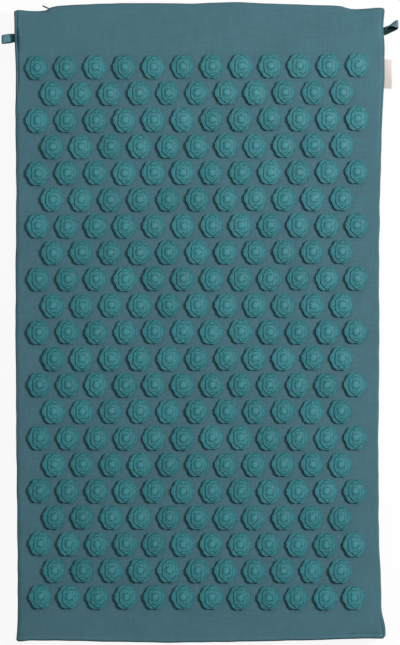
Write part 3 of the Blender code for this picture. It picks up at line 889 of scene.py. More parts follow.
def lay_disc_row(node, rosette, settings, chance):
    """A row of discs, each a little off square and off pitch, as they are welded by hand."""
    copies = []
    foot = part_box(node)[0].z
    for centre in disc_centres(node):
        off = Vector((chance.uniform(-1, 1), chance.uniform(-1, 1), 0)) * settings.wander
        turn = Matrix.Rotation(chance.uniform(-1, 1) * settings.twist, 4, "Z")
        lean = Matrix.Rotation(chance.uniform(-1, 1) * settings.lean, 4, "Y")
        size = Matrix.Scale(1 + chance.uniform(-1, 1) * settings.spread, 4)
        spot = Matrix.Translation(Vector((centre.x, centre.y, foot)) + off)
        disc = copy_of(rosette, spot @ turn @ lean @ size)
        dye = disc.data.attributes.new("dye", "FLOAT", "POINT")
        tone = chance.random()
        dye.data.foreach_set("value", [tone] * len(disc.data.vertices))
        copies.append(disc)
    return join(node.replace("flower_row", "flower_discs"), copies)


def weave_tape(settings, node, side):
    """A zip tape: up from the coil, round under the lip, and out to the lip's edge."""
    low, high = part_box(node)
    columns, bend_steps = 121, 5
    edge_room, lip_room = 0.0012, 0.0010
    wave_height, wave_length = 0.0001, 0.0021
    near = low.z if side > 0 else high.z
    far = high.z if side > 0 else low.z
    back = low.y + settings.tape
    shelf = far - side * settings.tape
    bend = settings.tape_bend
    section = [(back, near), (back, near + (shelf - near) * 0.5)]
    for k in range(bend_steps + 1):
        turn = QUARTER * k / bend_steps
        section.append((back + bend * (1 - math.cos(turn)), shelf - side * bend * (1 - math.sin(turn))))
    for share in (0.4, 0.7, 1.0):
        section.append((back + bend + (high.y - edge_room - back - bend) * share, shelf))
    panel = Panel(bpy.context.scene.mat_cover, True)

    def point_at(i, j):
        x = low.x + (high.x - low.x) * i / (columns - 1)
        y, z = section[j]
        reach = min(0.0, panel.end_at(1, x) - lip_room - y)
        wave = wave_height * math.sin(x / wave_length) if j < 3 else 0
        return Vector((x, y + reach + wave, z))

    obj = woven_grid(node.replace("zip_tape", "tape"), columns, len(section), point_at)
    if side < 0:
        obj.data.flip_normals()
    modify(obj, "SOLIDIFY", thickness=settings.tape * 0.9, offset=-1.0)
    return obj


def wind_coil(settings, node, side):
    """One side of the zip's teeth: loops of thick nylon, with a cord that sews them down."""
    low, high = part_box(node)
    pitch = settings.tooth_pitch
    radius, slope = pitch * 0.36, 0.14
    tip_share, tip_length = 0.72, 0.00018
    cord_radius, cord_room = 0.00028, 0.001
    centre_y, centre_z = (low.y + high.y) / 2, TOP_HIGH.z / 2
    depth = high.y - low.y
    reach = high.z - low.z + settings.tooth_overlap
    inner = (low.z if side > 0 else high.z) - side * settings.tooth_overlap
    tooth = start(
        "tooth", bpy.ops.mesh.primitive_cylinder_add,
        vertices=8, radius=radius, depth=reach, location=(0, centre_y, inner + side * reach / 2),
    )
    enter(tooth)
    bpy.ops.mesh.select_all(action="SELECT")
    bpy.ops.transform.resize(value=(1, depth * 0.46 / radius, 1), center_override=(0, centre_y, 0))
    pick(tooth, lambda f: side * f.normal.z < -0.9, "faces")
    bpy.ops.mesh.extrude_region_move(TRANSFORM_OT_translate={"value": (0, 0, 0)})
    bpy.ops.transform.resize(value=(tip_share, tip_share, 1), center_override=(0, centre_y, 0))
    bpy.ops.transform.translate(value=(0, 0, -side * tip_length))
    face_outward()
    leave()
    slant = Matrix.Identity(4)
    slant[0][2] = slope
    place(tooth, Matrix.Translation((0, 0, centre_z)) @ slant @ Matrix.Translation((0, 0, -centre_z)))
    first_x = low.x + pitch * (0.75 - side * 0.25)
    place(tooth, Matrix.Translation((first_x, 0, 0)))
    modify(
        tooth, "ARRAY", count=int((high.x - low.x) / pitch), use_relative_offset=False,
        use_constant_offset=True, constant_offset_displace=(pitch, 0, 0),
    )
    cord = start(
        "cord", bpy.ops.mesh.primitive_cylinder_add,
        vertices=8, radius=cord_radius, depth=high.x - low.x - cord_room,
        location=(0, high.y - depth * 0.06, inner + side * reach * 0.68), rotation=(0, QUARTER, 0),
    )
    return join(node.replace("zip_coil", "teeth"), [tooth, cord])


def cast_stop(node):
    """A crimped metal stop over the last teeth."""
    low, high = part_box(node)
    obj = start(
        node.replace("zip_", "crimped_"), bpy.ops.mesh.primitive_cube_add,
        size=1, location=(low + high) / 2, scale=high - low,
    )
    modify(obj, "BEVEL", width=bpy.context.scene.mat_zip.edge, segments=2)
    return obj


def block(low, high):
    """A box between two corners, as a start for a piece of the slider."""
    return start(
        "block", bpy.ops.mesh.primitive_cube_add,
        size=1, location=(Vector(low) + Vector(high)) / 2, scale=Vector(high) - Vector(low),
    )


def cast_front(settings, low, high, back):
    """The slider's front plate: a shield, narrower towards its ends and raised along its middle."""
    front_y = back + settings.plate
    middle_x, middle_z = (low.x + high.x) / 2, (low.z + high.z) / 2
    half_z = (high.z - low.z) / 2
    front = block((low.x, back, low.z), (high.x, front_y, high.z))
    enter(front)
    bpy.ops.mesh.select_all(action="SELECT")
    bpy.ops.mesh.subdivide(number_cuts=3)
    for place_x, factor in ((low.x, 0.80), (high.x, 0.62), ((middle_x + high.x) / 2, 0.90)):
        pick(front, lambda v: abs(v.co.x - place_x) < settings.edge)
        bpy.ops.transform.resize(value=(1, 1, factor), center_override=(middle_x, back, middle_z))
    pick(front, lambda v: v.co.y > front_y - WELD and abs(v.co.z - middle_z) < half_z * 0.6)
    bpy.ops.transform.translate(value=(0, settings.edge, 0))
    leave()
    modify(front, "BEVEL", width=settings.edge, segments=2, limit_method="ANGLE", angle_limit=0.7)
    return front


def cast_flanges(settings, low, high, back):
    """The slider's two flanges, one beyond the teeth on each side."""
    teeth_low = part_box("zip_coil_upper")[0]
    middle_z, half_z = (low.z + high.z) / 2, (high.z - low.z) / 2
    start_x, stop_x, edge = low.x + 0.0012, high.x - 0.0026, 0.0002
    flanges = []
    for side in (-1, 1):
        near = middle_z + side * (half_z * 0.96 - settings.flange)
        far = middle_z + side * half_z * 0.96
        low_corner = (start_x, teeth_low.y + settings.sink, min(near, far))
        flange = block(low_corner, (stop_x, back + settings.sink, max(near, far)))
        modify(flange, "BEVEL", width=edge, segments=2)
        flanges.append(flange)
    return flanges


def cast_rear(settings, low, high, back):
    """The slider's rear plate, and the post that joins it to the front plate between the teeth."""
    middle_z = (low.z + high.z) / 2
    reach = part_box("zip_coil_upper")[1].z - middle_z
    front_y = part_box("zip_tape_upper")[0].y - settings.running_gap
    inset, post_stop, post_half = 0.0003, low.x + 0.0021, 0.0002
    rear = block((low.x + inset, low.y, middle_z - reach), (high.x - inset, front_y, middle_z + reach))
    modify(rear, "BEVEL", width=inset, segments=2)
    low_corner = (low.x + inset, low.y + settings.sink, middle_z - post_half)
    post = block(low_corner, (post_stop, back + settings.sink, middle_z + post_half))
    return [rear, post]


def cast_bridge(settings, low, high, foot):
    """The bridge that the pull hangs on: a bar bent over in a half circle, then raised to its height."""
    middle_x, middle_z = (low.x + high.x) / 2, (low.z + high.z) / 2
    leg, root, edge = settings.bridge_bar, 0.0002, 0.00015
    leg_x = middle_x + settings.bridge_length / 2 - leg / 2
    bridge = start(
        "bridge", bpy.ops.mesh.primitive_plane_add,
        size=1, location=(leg_x, foot, middle_z), scale=(leg, settings.bridge_width, 1),
        rotation=(QUARTER, 0, 0),
    )
    enter(bridge)
    bpy.ops.mesh.select_all(action="SELECT")
    bpy.ops.mesh.spin(steps=10, angle=math.pi, center=(middle_x, foot, middle_z), axis=(0, 0, 1))
    face_outward()
    leave()
    rise = max((vertex.co.y - foot for vertex in bridge.data.vertices), key=abs)
    for vertex in bridge.data.vertices:
        share = (vertex.co.y - foot) / rise
        vertex.co.y = foot - root + share * (high.y - foot + root)
    modify(bridge, "BEVEL", width=edge, segments=1, limit_method="ANGLE", angle_limit=0.9)
    enter(bridge)
    face_outward()
    leave()
    return bridge


def cast_slider(settings):
    """The whole slider, with its front plate clear of the teeth."""
    low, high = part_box("zip_slider")
    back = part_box("zip_coil_upper")[1].y + settings.running_gap
    front = cast_front(settings, low, high, back)
    flanges = cast_flanges(settings, low, high, back)
    rear = cast_rear(settings, low, high, back)
    bridge = cast_bridge(settings, low, high, back + settings.plate)
    return join("slider_body", [front, *flanges, *rear, bridge])


def joint_place(name):
    return Vector(next(joint["pos_m"] for joint in frame["joints"] if joint["name"] == name))


def bend_out(joint_name, side, reach):
    """Where a ribbon's bend starts, at the cover's outline, and where it ends, this far out."""
    root = joint_place(joint_name)
    edge = along_curve(RIGHT_EDGE if side > 0 else LEFT_EDGE, root.y)
    start_at = Vector((edge + side * bpy.context.scene.mat_cover.side_swell, root.y, root.z))
    return start_at, start_at + Vector((side * reach, 0, 0))


def add_outline(curve, points):
    spline = curve.splines.new("POLY")
    spline.points.add(len(points) - 1)
    for target, (x, y) in zip(spline.points, points):
        target.co = (x, y, 0, 1)
    spline.use_cyclic_u = True


def oval(centre, half_x, half_y, count, power=1.0):
    """Points round an oval; a power under 1 squares it off."""
    points = []
    for k in range(count):
        turn = 2 * math.pi * k / count
        x, y = (math.copysign(abs(v) ** power, v) for v in (math.cos(turn), math.sin(turn)))
        points.append((centre + half_x * x, half_y * y))
    return points


def stamp_pull(settings):
    """The pull tab: an eye round the slider's bridge, a waist, and a rounded grip with a hole."""
    axis = joint_place("zip_pull_swing")
    length, half_width = settings.pull_length, settings.pull_width / 2
    curve = bpy.data.curves.new("pull_tab", "CURVE")
    curve.dimensions = "2D"
    curve.fill_mode = "BOTH"
    edge = settings.pull_edge
    curve.bevel_depth = edge
    curve.bevel_resolution = 1
    curve.extrude = settings.pull_thickness / 2 - edge
    steps = 48
    outline = []
    bar = settings.eye_bar
    for k in range(steps):
        turn = 2 * math.pi * k / steps
        c, s = math.cos(turn), math.sin(turn)
        x = -length / 2 + bar / 2 + length / 2 * math.copysign(abs(c) ** 0.62, c)
        waist = 1 - 0.16 * math.exp(-(((x + length * 0.46) / (length * 0.12)) ** 2))
        outline.append((x, half_width * waist * math.copysign(abs(s) ** 0.5, s)))
    add_outline(curve, [(x * (1 - 2 * edge / length), y * (1 - edge / half_width)) for x, y in outline])
    eye_middle = -bar / 2 - settings.eye_length / 2
    eye_x, eye_y = settings.eye_length / 2 + edge, settings.eye_width / 2 + edge
    add_outline(curve, oval(eye_middle, eye_x, eye_y, 20, 0.6))
    hole_x = -length + bar / 2 + 2.2 * settings.hole_radius
    add_outline(curve, oval(hole_x, settings.hole_radius + edge, settings.hole_radius + edge, 16))
    flat = bpy.data.objects.new("pull_tab", curve)
    bpy.context.collection.objects.link(flat)
    only(flat)
    bpy.ops.object.convert(target="MESH")
    tab = bpy.context.object
    enter(tab)
    bpy.ops.mesh.select_all(action="SELECT")
    bpy.ops.mesh.remove_doubles(threshold=FINE_WELD)
    face_outward()
    leave()
    stand = Matrix.Rotation(QUARTER + settings.pull_tilt, 4, "X")
    lean = Matrix.Rotation(-settings.pull_rest, 4, "Z")
    place(tab, Matrix.Translation(axis) @ lean @ stand)
    return tab


def fold_loop(settings, node, joint_name, side, lean, twist, flare):
    """A folded ribbon that leaves the seam flat, turns on its side and opens its eye by the flare."""
    which = 0 if side < 0 else 1
    root = joint_place(joint_name) + Vector((0, settings.loop_shifts[which], 0))
    low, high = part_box(node)
    length = high.x - root.x if side > 0 else root.x - low.x
    length += settings.loop_slacks[which]
    half_eye = settings.loop_eye / 2
    ribbon = settings.ribbon
    tip = length - half_eye - ribbon / 2
    path = []
    apart = ribbon * 0.55
    for share in (0.0, 0.06, 0.14, 0.24, 0.36, 0.5, 0.65, 0.8, 1.0):
        path.append((tip * share, apart + half_eye * smooth((share - 0.06) / 0.42)))
    for k in range(1, 9):
        turn = QUARTER - math.pi * k / 18
        path.append((tip + (half_eye + apart) * math.cos(turn), (half_eye + apart) * math.sin(turn)))
    path += [(reach, -height) for reach, height in reversed(path)]
    width_steps, bow = 7, 0.00025
    half = settings.loop_width / 2

    def point_at(i, j):
        reach, height = path[j]
        share = i / (width_steps - 1) * 2 - 1
        across = share * half
        height += bow * (1 - share * share) * math.copysign(1, height)
        folded = smooth((reach / length - 0.50) / 0.42)
        turn = twist * (1 - 0.45 * folded) + flare * (1 - folded) * math.copysign(1, height)
        turn *= smooth(reach / length * 6)
        y = across * math.cos(turn) - height * math.sin(turn)
        z = across * math.sin(turn) + height * math.cos(turn)
        return root + Vector((side * reach, y + reach * math.tan(lean), z + settings.loop_rise * reach))

    obj = woven_grid(node.replace("hang_loop", "ribbon_loop"), width_steps, len(path), point_at)
    for item in obj.data.uv_layers.active.data:
        item.uv = (item.uv.x / settings.loop_width, item.uv.y)
    enter(obj)
    face_outward()
    leave()
    outer = len(obj.data.vertices)
    modify(obj, "SOLIDIFY", thickness=ribbon, offset=0.0)
    # The inside attribute marks the ribbon's back for the material's painted shade.
    inside = obj.data.attributes.new("inside", "FLOAT", "POINT")
    inside.data.foreach_set("value", [float(k >= outer) for k in range(len(obj.data.vertices))])
    modify(obj, "SUBSURF", levels=1, render_levels=1)
    return obj


def fold_label(settings):
    """The blank side label: two layers of satin folded at the outer edge, lifting a little."""
    root = joint_place("label_swing")
    low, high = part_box("side_label")
    reach = high.x - root.x + settings.label_slack
    half_gap = settings.label_gap / 2
    least_gap, wave_height, slip = 0.00008, 0.0002, 0.0008
    path = []
    for share in (0.0, 0.08, 0.2, 0.4, 0.6, 0.8, 0.94):
        path.append((reach * share, half_gap * smooth(share / 0.3) + least_gap))
    path.append((reach * 0.985, half_gap * 0.7))
    path += [(reach, 0.0)] + [(out, -up) for out, up in reversed(path)]
    length_steps = 25

    def point_at(i, j):
        out, up = path[j]
        step = i / (length_steps - 1)
        along = low.y + settings.label_shift + (high.y - low.y) * step
        share = out / reach
        sag = settings.label_lift * share * share * math.sin((along - low.y) / (high.y - low.y) * 3.4 + 0.4)
        wave = wave_height * share * math.sin(step * 7.0)
        return Vector((root.x + out + wave, along - slip * share, root.z + up + sag))

    obj = woven_grid("satin_label", length_steps, len(path), point_at)
    modify(obj, "SOLIDIFY", thickness=settings.satin, offset=0.0)
    modify(obj, "SUBSURF", levels=1, render_levels=1)
    return obj


def cut_foam():
    """The foam slab: its edges pressed round by the cover."""
    low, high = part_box("foam_core")
    obj = start(
        "foam_slab", bpy.ops.mesh.primitive_cube_add, size=1, location=(low + high) / 2, scale=high - low,
    )
    modify(obj, "BEVEL", width=bpy.context.scene.mat_trim.foam_edge, segments=4)
    return obj


def a_colour(name, description, default):
    return FloatVectorProperty(
        name=name, description=description, subtype="COLOR", size=4, default=default, min=0, max=1
    )


def a_length(name, description, default):
    return FloatProperty(name=name, description=description, unit="LENGTH", default=default)


def an_angle(name, description, default):
    return FloatProperty(name=name, description=description, subtype="ANGLE", default=default)


class MatCoverSettings(bpy.types.PropertyGroup):
    colour: a_colour("Linen", "Colour of the top panel", (0.067, 0.163, 0.199, 1))
    under_colour: a_colour("Canvas", "Colour of the bottom panel", (0.068, 0.150, 0.185, 1))
    thread_pitch: a_length("Thread pitch", "Distance between two threads", 0.00062)
    fabric: a_length("Fabric", "Thickness of the cloth", 0.0006)
    left_roll: a_length("Left roll", "Width of the roll over the left side", 0.0025)
    right_roll: a_length("Right roll", "Width of the roll over the right side", 0.0024)
    far_roll: a_length("Far roll", "Width of the roll over the far end", 0.0030)
    zip_roll: a_length("Zip roll", "Width of the roll over the zip", 0.0048)
    under_roll: a_length("Under roll", "Width of the bottom panel's roll", 0.010)
    left_seam_z: a_length("Left seam height", "Height of the left seam", 0.0142)
    right_seam_z: a_length("Right seam height", "Height of the right seam", 0.0116)
    side_swell: a_length("Side swell", "How far the sides stand out past their outline", 0.0008)
    end_swell: a_length("End swell", "How far the ends stand out past their outline", 0.0015)
    seam_gap: a_length("Seam gap", "Half the gap between the panels' edges", 0.0002)
    crease: a_length("Crease", "Depth of the crease at a seam", 0.0012)
    hem: a_length("Hem", "Cloth turned in at a seam", 0.0020)
    zip_hem: a_length("Zip hem", "Cloth turned in at the zip", 0.0085)
    zip_half_gap: a_length("Zip opening", "Half the height of the opening over the zip", 0.0050)
    zip_fade: a_length("Zip fade", "Length over which the opening closes", 0.0060)
    corner_radius: a_length("Corner", "Rounding of a corner", 0.0045)
    wander: a_length("Wander", "Unevenness of the outline", 0.0006)
    slack: a_length("Slack", "Unevenness of the field", 0.0006)
    pucker: a_length("Pucker", "Height of the seam's puckers", 0.0007)
    crease_depth: a_length("Fold depth", "Depth of the soft folds near the zip", 0.00045)
    stitch_inset: a_length("Stitch inset", "Distance of the stitches from the lip's edge", 0.0036)
    stitch_depth: a_length("Stitch depth", "How far the stitches pull the cloth in", 0.0004)
    # Painted shade: the width of the darkening along the seams.
    painted_seam_shade: a_length("Seam shade", "Width of the darker cloth along the seams", 0.0013)
    far_ridge: a_length("Far ridge", "Height of the ridge along the far end", 0.0008)
    groove_width: a_length("Groove width", "Half the width of a seam's groove", 0.0009)
    loop_dent: a_length("Loop dent", "How far a loop's stitches pull the cloth in", 0.0026)
    stitch_length: a_length("Stitch length", "Length of one stitch", 0.0026)
    thread: a_length("Thread", "Thickness of the thread", 0.0004)
    roll_steps: IntProperty(name="Roll steps", description="Lines round a roll", default=10, min=3)
    columns: IntProperty(name="Columns", description="Lines across the top's field", default=120, min=8)
    rows: IntProperty(name="Rows", description="Lines along the top's field", default=160, min=8)


class MatDiscSettings(bpy.types.PropertyGroup):
    face: a_colour("Petal", "Colour of the petals' faces", (0.042, 0.250, 0.285, 1))
    # The groove colour is painted shade: the petals darken towards it low down and at the foot.
    groove: a_colour("Groove", "Colour down between the petals", (0.013, 0.115, 0.135, 1))
    radius: a_length("Radius", "To the outer petals' tips", 0.0145)
    height: a_length("Height", "Above the cloth", 0.0057)
    line: FloatProperty(
        name="Line", description="Half a petal line's width, as a share of the disc", default=0.085
    )
    slant: FloatVectorProperty(
        name="Slant", description="How far the petals lean across and along the mat as they rise", size=2,
        default=(0.27, 0.02),
    )
    wander: a_length("Wander", "How far a disc is off its place", 0.0004)
    twist: an_angle("Twist", "How far a disc is turned", 0.06)
    lean: an_angle("Lean", "How far a disc leans", 0.02)
    spread: FloatProperty(
        name="Spread", description="How much a disc's size varies, as a share", default=0.012
    )
    seed: IntProperty(name="Seed", description="Seed of the discs' small differences", default=7)


class MatZipSettings(bpy.types.PropertyGroup):
    tape_colour: a_colour("Tape", "Colour of the zip's tapes", (0.045, 0.095, 0.120, 1))
    coil_colour: a_colour("Coil", "Colour of the teeth", (0.040, 0.085, 0.105, 1))
    enamel: a_colour("Enamel", "Colour of the slider, pull and stops", (0.030, 0.036, 0.042, 1))
    bare: a_colour("Bare metal", "Colour where the enamel is rubbed", (0.20, 0.20, 0.20, 1))
    tape: a_length("Tape", "Thickness of the tape", 0.0005)
    tape_bend: a_length("Tape bend", "Radius of the tape's bend", 0.0014)
    tooth_pitch: a_length("Tooth pitch", "From tooth to tooth", 0.0015)
    tooth_overlap: a_length("Tooth reach", "How far a tooth reaches past its coil's edge", 0.00008)
    plate: a_length("Plate", "Thickness of the slider's plates", 0.0010)
    flange: a_length("Flange", "Thickness of the slider's flanges", 0.0009)
    bridge_length: a_length("Bridge length", "Length of the slider's bridge", 0.0056)
    bridge_width: a_length("Bridge width", "Width of the slider's bridge", 0.0021)
    bridge_bar: a_length("Bridge bar", "Thickness of the bridge", 0.0009)
    pull_length: a_length("Pull length", "Length of the pull", 0.0190)
    pull_width: a_length("Pull width", "Width of the pull", 0.0050)
    pull_thickness: a_length("Pull thickness", "Thickness of the pull", 0.0013)
    pull_rest: an_angle("Pull rest", "How far the pull stands off the zip", math.radians(24))
    pull_tilt: an_angle("Pull tilt", "How far the pull's lower edge tilts out", math.radians(10))
    eye_bar: a_length("Eye bar", "Bar of the pull under the bridge", 0.0009)
    eye_length: a_length("Eye length", "Length of the pull's eye", 0.0050)
    pull_edge: a_length("Pull edge", "Rounding of the pull's edges", 0.00018)
    edge: a_length("Metal edge", "Rounding of the stops' and the slider's edges", 0.00022)
    running_gap: a_length("Running gap", "Room between the slider and the teeth or the tape", 0.0003)
    sink: a_length("Sink", "How far the slider's pieces reach into each other", 0.0004)
    twill_pitch: a_length("Twill pitch", "Distance between two of the tape's ribs", 0.0007)
    eye_width: a_length("Eye width", "Width of the pull's eye", 0.0034)
    hole_radius: a_length("Hole", "Radius of the hole in the grip", 0.0010)


class MatTrimSettings(bpy.types.PropertyGroup):
    ribbon_colour: a_colour("Ribbon", "Colour of the hanging loops", (0.100, 0.240, 0.275, 1))
    label_colour: a_colour("Label", "Colour of the label", (0.68, 0.61, 0.56, 1))
    thread_colour: a_colour("Thread", "Colour of the sewing thread", (0.070, 0.150, 0.185, 1))
    foam_colour: a_colour("Foam", "Colour of the foam slab", (0.85, 0.82, 0.70, 1))
    foam_edge: a_length("Foam edge", "Rounding of the foam slab's edges", 0.009)
    rib_pitch: a_length("Rib pitch", "Distance between two of the ribbon's ribs", 0.0008)
    selvedge: FloatProperty(
        name="Selvedge", description="Its width, as a share of the ribbon's", default=0.09
    )
    satin_pitch: a_length("Satin pitch", "Distance between two of the label's threads", 0.0005)
    ribbon: a_length("Ribbon", "Thickness of the ribbon", 0.0007)
    loop_width: a_length("Loop width", "Width of the ribbon", 0.0100)
    loop_eye: a_length("Loop eye", "Height of the loop's eye", 0.0052)
    loop_shifts: FloatVectorProperty(
        name="Loop shifts", description="How far the left and right loop sit towards the zip", size=2,
        unit="LENGTH", default=(0.0043, 0.0020),
    )
    loop_slacks: FloatVectorProperty(
        name="Loop slacks", description="How far the left and right loop reach past their plain shape",
        size=2, unit="LENGTH", default=(-0.0002, 0.0032),
    )
    bend: a_length("Bend", "How far past the cover a loop or the label bends", 0.0100)
    loop_rise: FloatProperty(name="Loop rise", description="How steeply the loops stand up", default=0.22)
    left_lean: an_angle("Left lean", "Slant of the left loop", math.radians(-8))
    right_lean: an_angle("Right lean", "Slant of the right loop", math.radians(26))
    left_twist: an_angle("Left twist", "Turn of the left loop's ribbon", math.radians(-6))
    right_twist: an_angle("Right twist", "Turn of the right loop's ribbon", math.radians(-45))
    right_flare: an_angle("Right flare", "How far the right loop's layers open", math.radians(-35))
    satin: a_length("Satin", "Thickness of the label's satin", 0.0002)
    label_gap: a_length("Label gap", "Room between the label's layers", 0.0007)
    label_slack: a_length("Label slack", "How far the label reaches past its plain shape", 0.0034)
    label_shift: a_length("Label shift", "How far the label sits towards the zip", 0.0037)
    label_lift: a_length("Label lift", "How far the label's edge lifts", 0.0012)


class MatStageSettings(bpy.types.PropertyGroup):
    view_height: a_length("View height", "Height of the picture at the mat's top", 0.7356)
    distance: a_length("Distance", "From the camera to the mat's top", 3.2)
    aim: FloatVectorProperty(
        name="Aim", description="Where the camera looks, seen from above", subtype="XYZ", size=3,
        default=(0.0019, 0.0006, 0.0242),
    )
    sky: FloatProperty(name="Sky", description="Strength of the light from all round", default=0.245, min=0)
    key_power: FloatProperty(
        name="Key", description="Power of the lamp at the right", unit="POWER", default=55.0
    )
    key_place: FloatVectorProperty(
        name="Key place", description="Where the lamp at the right hangs", subtype="XYZ", size=3,
        default=(1.75, 0.55, 1.75),
    )
    key_size: a_length("Key size", "Width of the lamp at the right", 0.55)
    fill_power: FloatProperty(
        name="Fill", description="Power of the lamp behind", unit="POWER", default=4.5
    )
    fill_place: FloatVectorProperty(
        name="Fill place", description="Where the lamp behind hangs", subtype="XYZ", size=3,
        default=(0.1, 1.15, 1.1),
    )
    fill_size: a_length("Fill size", "Width of the lamp behind", 1.4)
    floor_grey: FloatProperty(name="Floor", description="How pale the floor is", default=0.42, min=0, max=1)
    floor_glow: FloatProperty(
        name="Backdrop share", description="How much of the floor the camera sees as plain white",
        default=0.92, min=0, max=1,
    )


class MAT_OT_cut_foam(bpy.types.Operator):
    """Cut the foam slab that fills the cover"""

    bl_idname = "mat.cut_foam"
    bl_label = "Cut Foam"

    def execute(self, context):
        foam = open_foam("open_foam", tuple(context.scene.mat_trim.foam_colour))
        slab = complete(cut_foam(), "mat", "foam", foam, "foam_core")
        return {"FINISHED"}


class MAT_OT_sew_cover(bpy.types.Operator):
    """Sew the cover's two panels and stitch the lips over its zip"""

    bl_idname = "mat.sew_cover"
    bl_label = "Sew Cover"

    def execute(self, context):
        settings = context.scene.mat_cover
        linen = woven_cloth("linen_weave", tuple(settings.colour), settings.thread_pitch)
        coarse = settings.thread_pitch * 1.3
        canvas = woven_cloth("canvas_weave", tuple(settings.under_colour), coarse, slub=0.6)
        top = sew_panel(settings, "cover_top", True, settings.columns, settings.rows)
        under = sew_panel(settings, "cover_under", False, settings.columns // 2, settings.rows // 2)
        complete(top, "mat", "linen", linen, "top_panel", angle=1.2)
        complete(under, "mat", "canvas", canvas, "bottom_panel", angle=1.2)
        thread = sewing_thread("sewing_thread", tuple(context.scene.mat_trim.thread_colour))
        for is_top in (True, False):
            stitches = sew_stitches(settings, is_top)
            complete(stitches, "mat", "linen" if is_top else "canvas", thread)
        return {"FINISHED"}


class MAT_OT_mould_discs(bpy.types.Operator):
    """Mould the flower discs and set them out in their staggered rows"""

    bl_idname = "mat.mould_discs"
    bl_label = "Mould Discs"

    def execute(self, context):
        settings = context.scene.mat_discs
        plastic = moulded_plastic(
            "moulded_teal", tuple(settings.groove), tuple(settings.face), PETAL_GROOVES_AND_SHADE, settings.line
        )
        chance = random.Random(settings.seed)
        rosette = mould_rosette(settings)
        for node in ROWS:
            row = lay_disc_row(node, rosette, settings, chance)
            complete(row, "mat", "disc_plastic", plastic, node, angle=0.5)
        bpy.data.objects.remove(rosette)
        return {"FINISHED"}


class MAT_OT_weave_tapes(bpy.types.Operator):
    """Weave the zip's tapes and wind their teeth"""

    bl_idname = "mat.weave_tapes"
    bl_label = "Weave Zip"

    def execute(self, context):
        settings = context.scene.mat_zip
        twill = twill_tape("tape_twill", tuple(settings.tape_colour), settings.twill_pitch)
        nylon = wound_nylon("wound_nylon", tuple(settings.coil_colour))
        for half, side in (("upper", 1), ("lower", -1)):
            tape, coil = f"zip_tape_{half}", f"zip_coil_{half}"
            complete(weave_tape(settings, tape, side), "mat", "zip_tape", twill, tape)
            complete(wind_coil(settings, coil, side), "mat", "zip_coil", nylon, coil)
        return {"FINISHED"}


class MAT_OT_cast_slider(bpy.types.Operator):
    """Cast the zip's stops, slider and pull"""

    bl_idname = "mat.cast_slider"
    bl_label = "Cast Slider"

    def execute(self, context):
        settings = context.scene.mat_zip
        enamel = worn_enamel("dark_enamel", tuple(settings.enamel), tuple(settings.bare))
        for node in ("zip_top_stop_upper", "zip_top_stop_lower", "zip_bottom_stop"):
            complete(cast_stop(node), "mat", "dark_metal", enamel, node)
        complete(cast_slider(settings), "slider", "dark_metal", enamel, "zip_slider")
        complete(stamp_pull(settings), "pull", "dark_metal", enamel, "zip_pull")
        return {"FINISHED"}


class MAT_OT_fold_loops(bpy.types.Operator):
    """Fold the ribbon of the two hanging loops"""

    bl_idname = "mat.fold_loops"
    bl_label = "Fold Loops"

    def execute(self, context):
        settings = context.scene.mat_trim
        colour = tuple(settings.ribbon_colour)
        ribbon = ribbed_ribbon("loop_ribbon", colour, settings.rib_pitch, settings.selvedge)
        loops = (
            ("left", -1, settings.left_lean, settings.left_twist, 0.0),
            ("right", 1, settings.right_lean, settings.right_twist, settings.right_flare),
        )
        for name, side, lean, twist, flare in loops:
            node, joint = f"hang_loop_{name}", f"{name}_loop_swing"
            loop = fold_loop(settings, node, joint, side, lean, twist, flare)
            bend = bend_out(joint, side, settings.bend)
            complete(loop, f"{name}_loop", "loop_ribbon", ribbon, node, angle=1.2, bend=bend)
        return {"FINISHED"}


class MAT_OT_fold_label(bpy.types.Operator):
    """Fold the blank satin label"""

    bl_idname = "mat.fold_label"
    bl_label = "Fold Label"

    def execute(self, context):
        settings = context.scene.mat_trim
        cream = satin("cream_satin", tuple(settings.label_colour), settings.satin_pitch)
        bend = bend_out("label_swing", 1, settings.bend)
        complete(fold_label(settings), "label", "label_satin", cream, "side_label", angle=1.2, bend=bend)
        return {"FINISHED"}


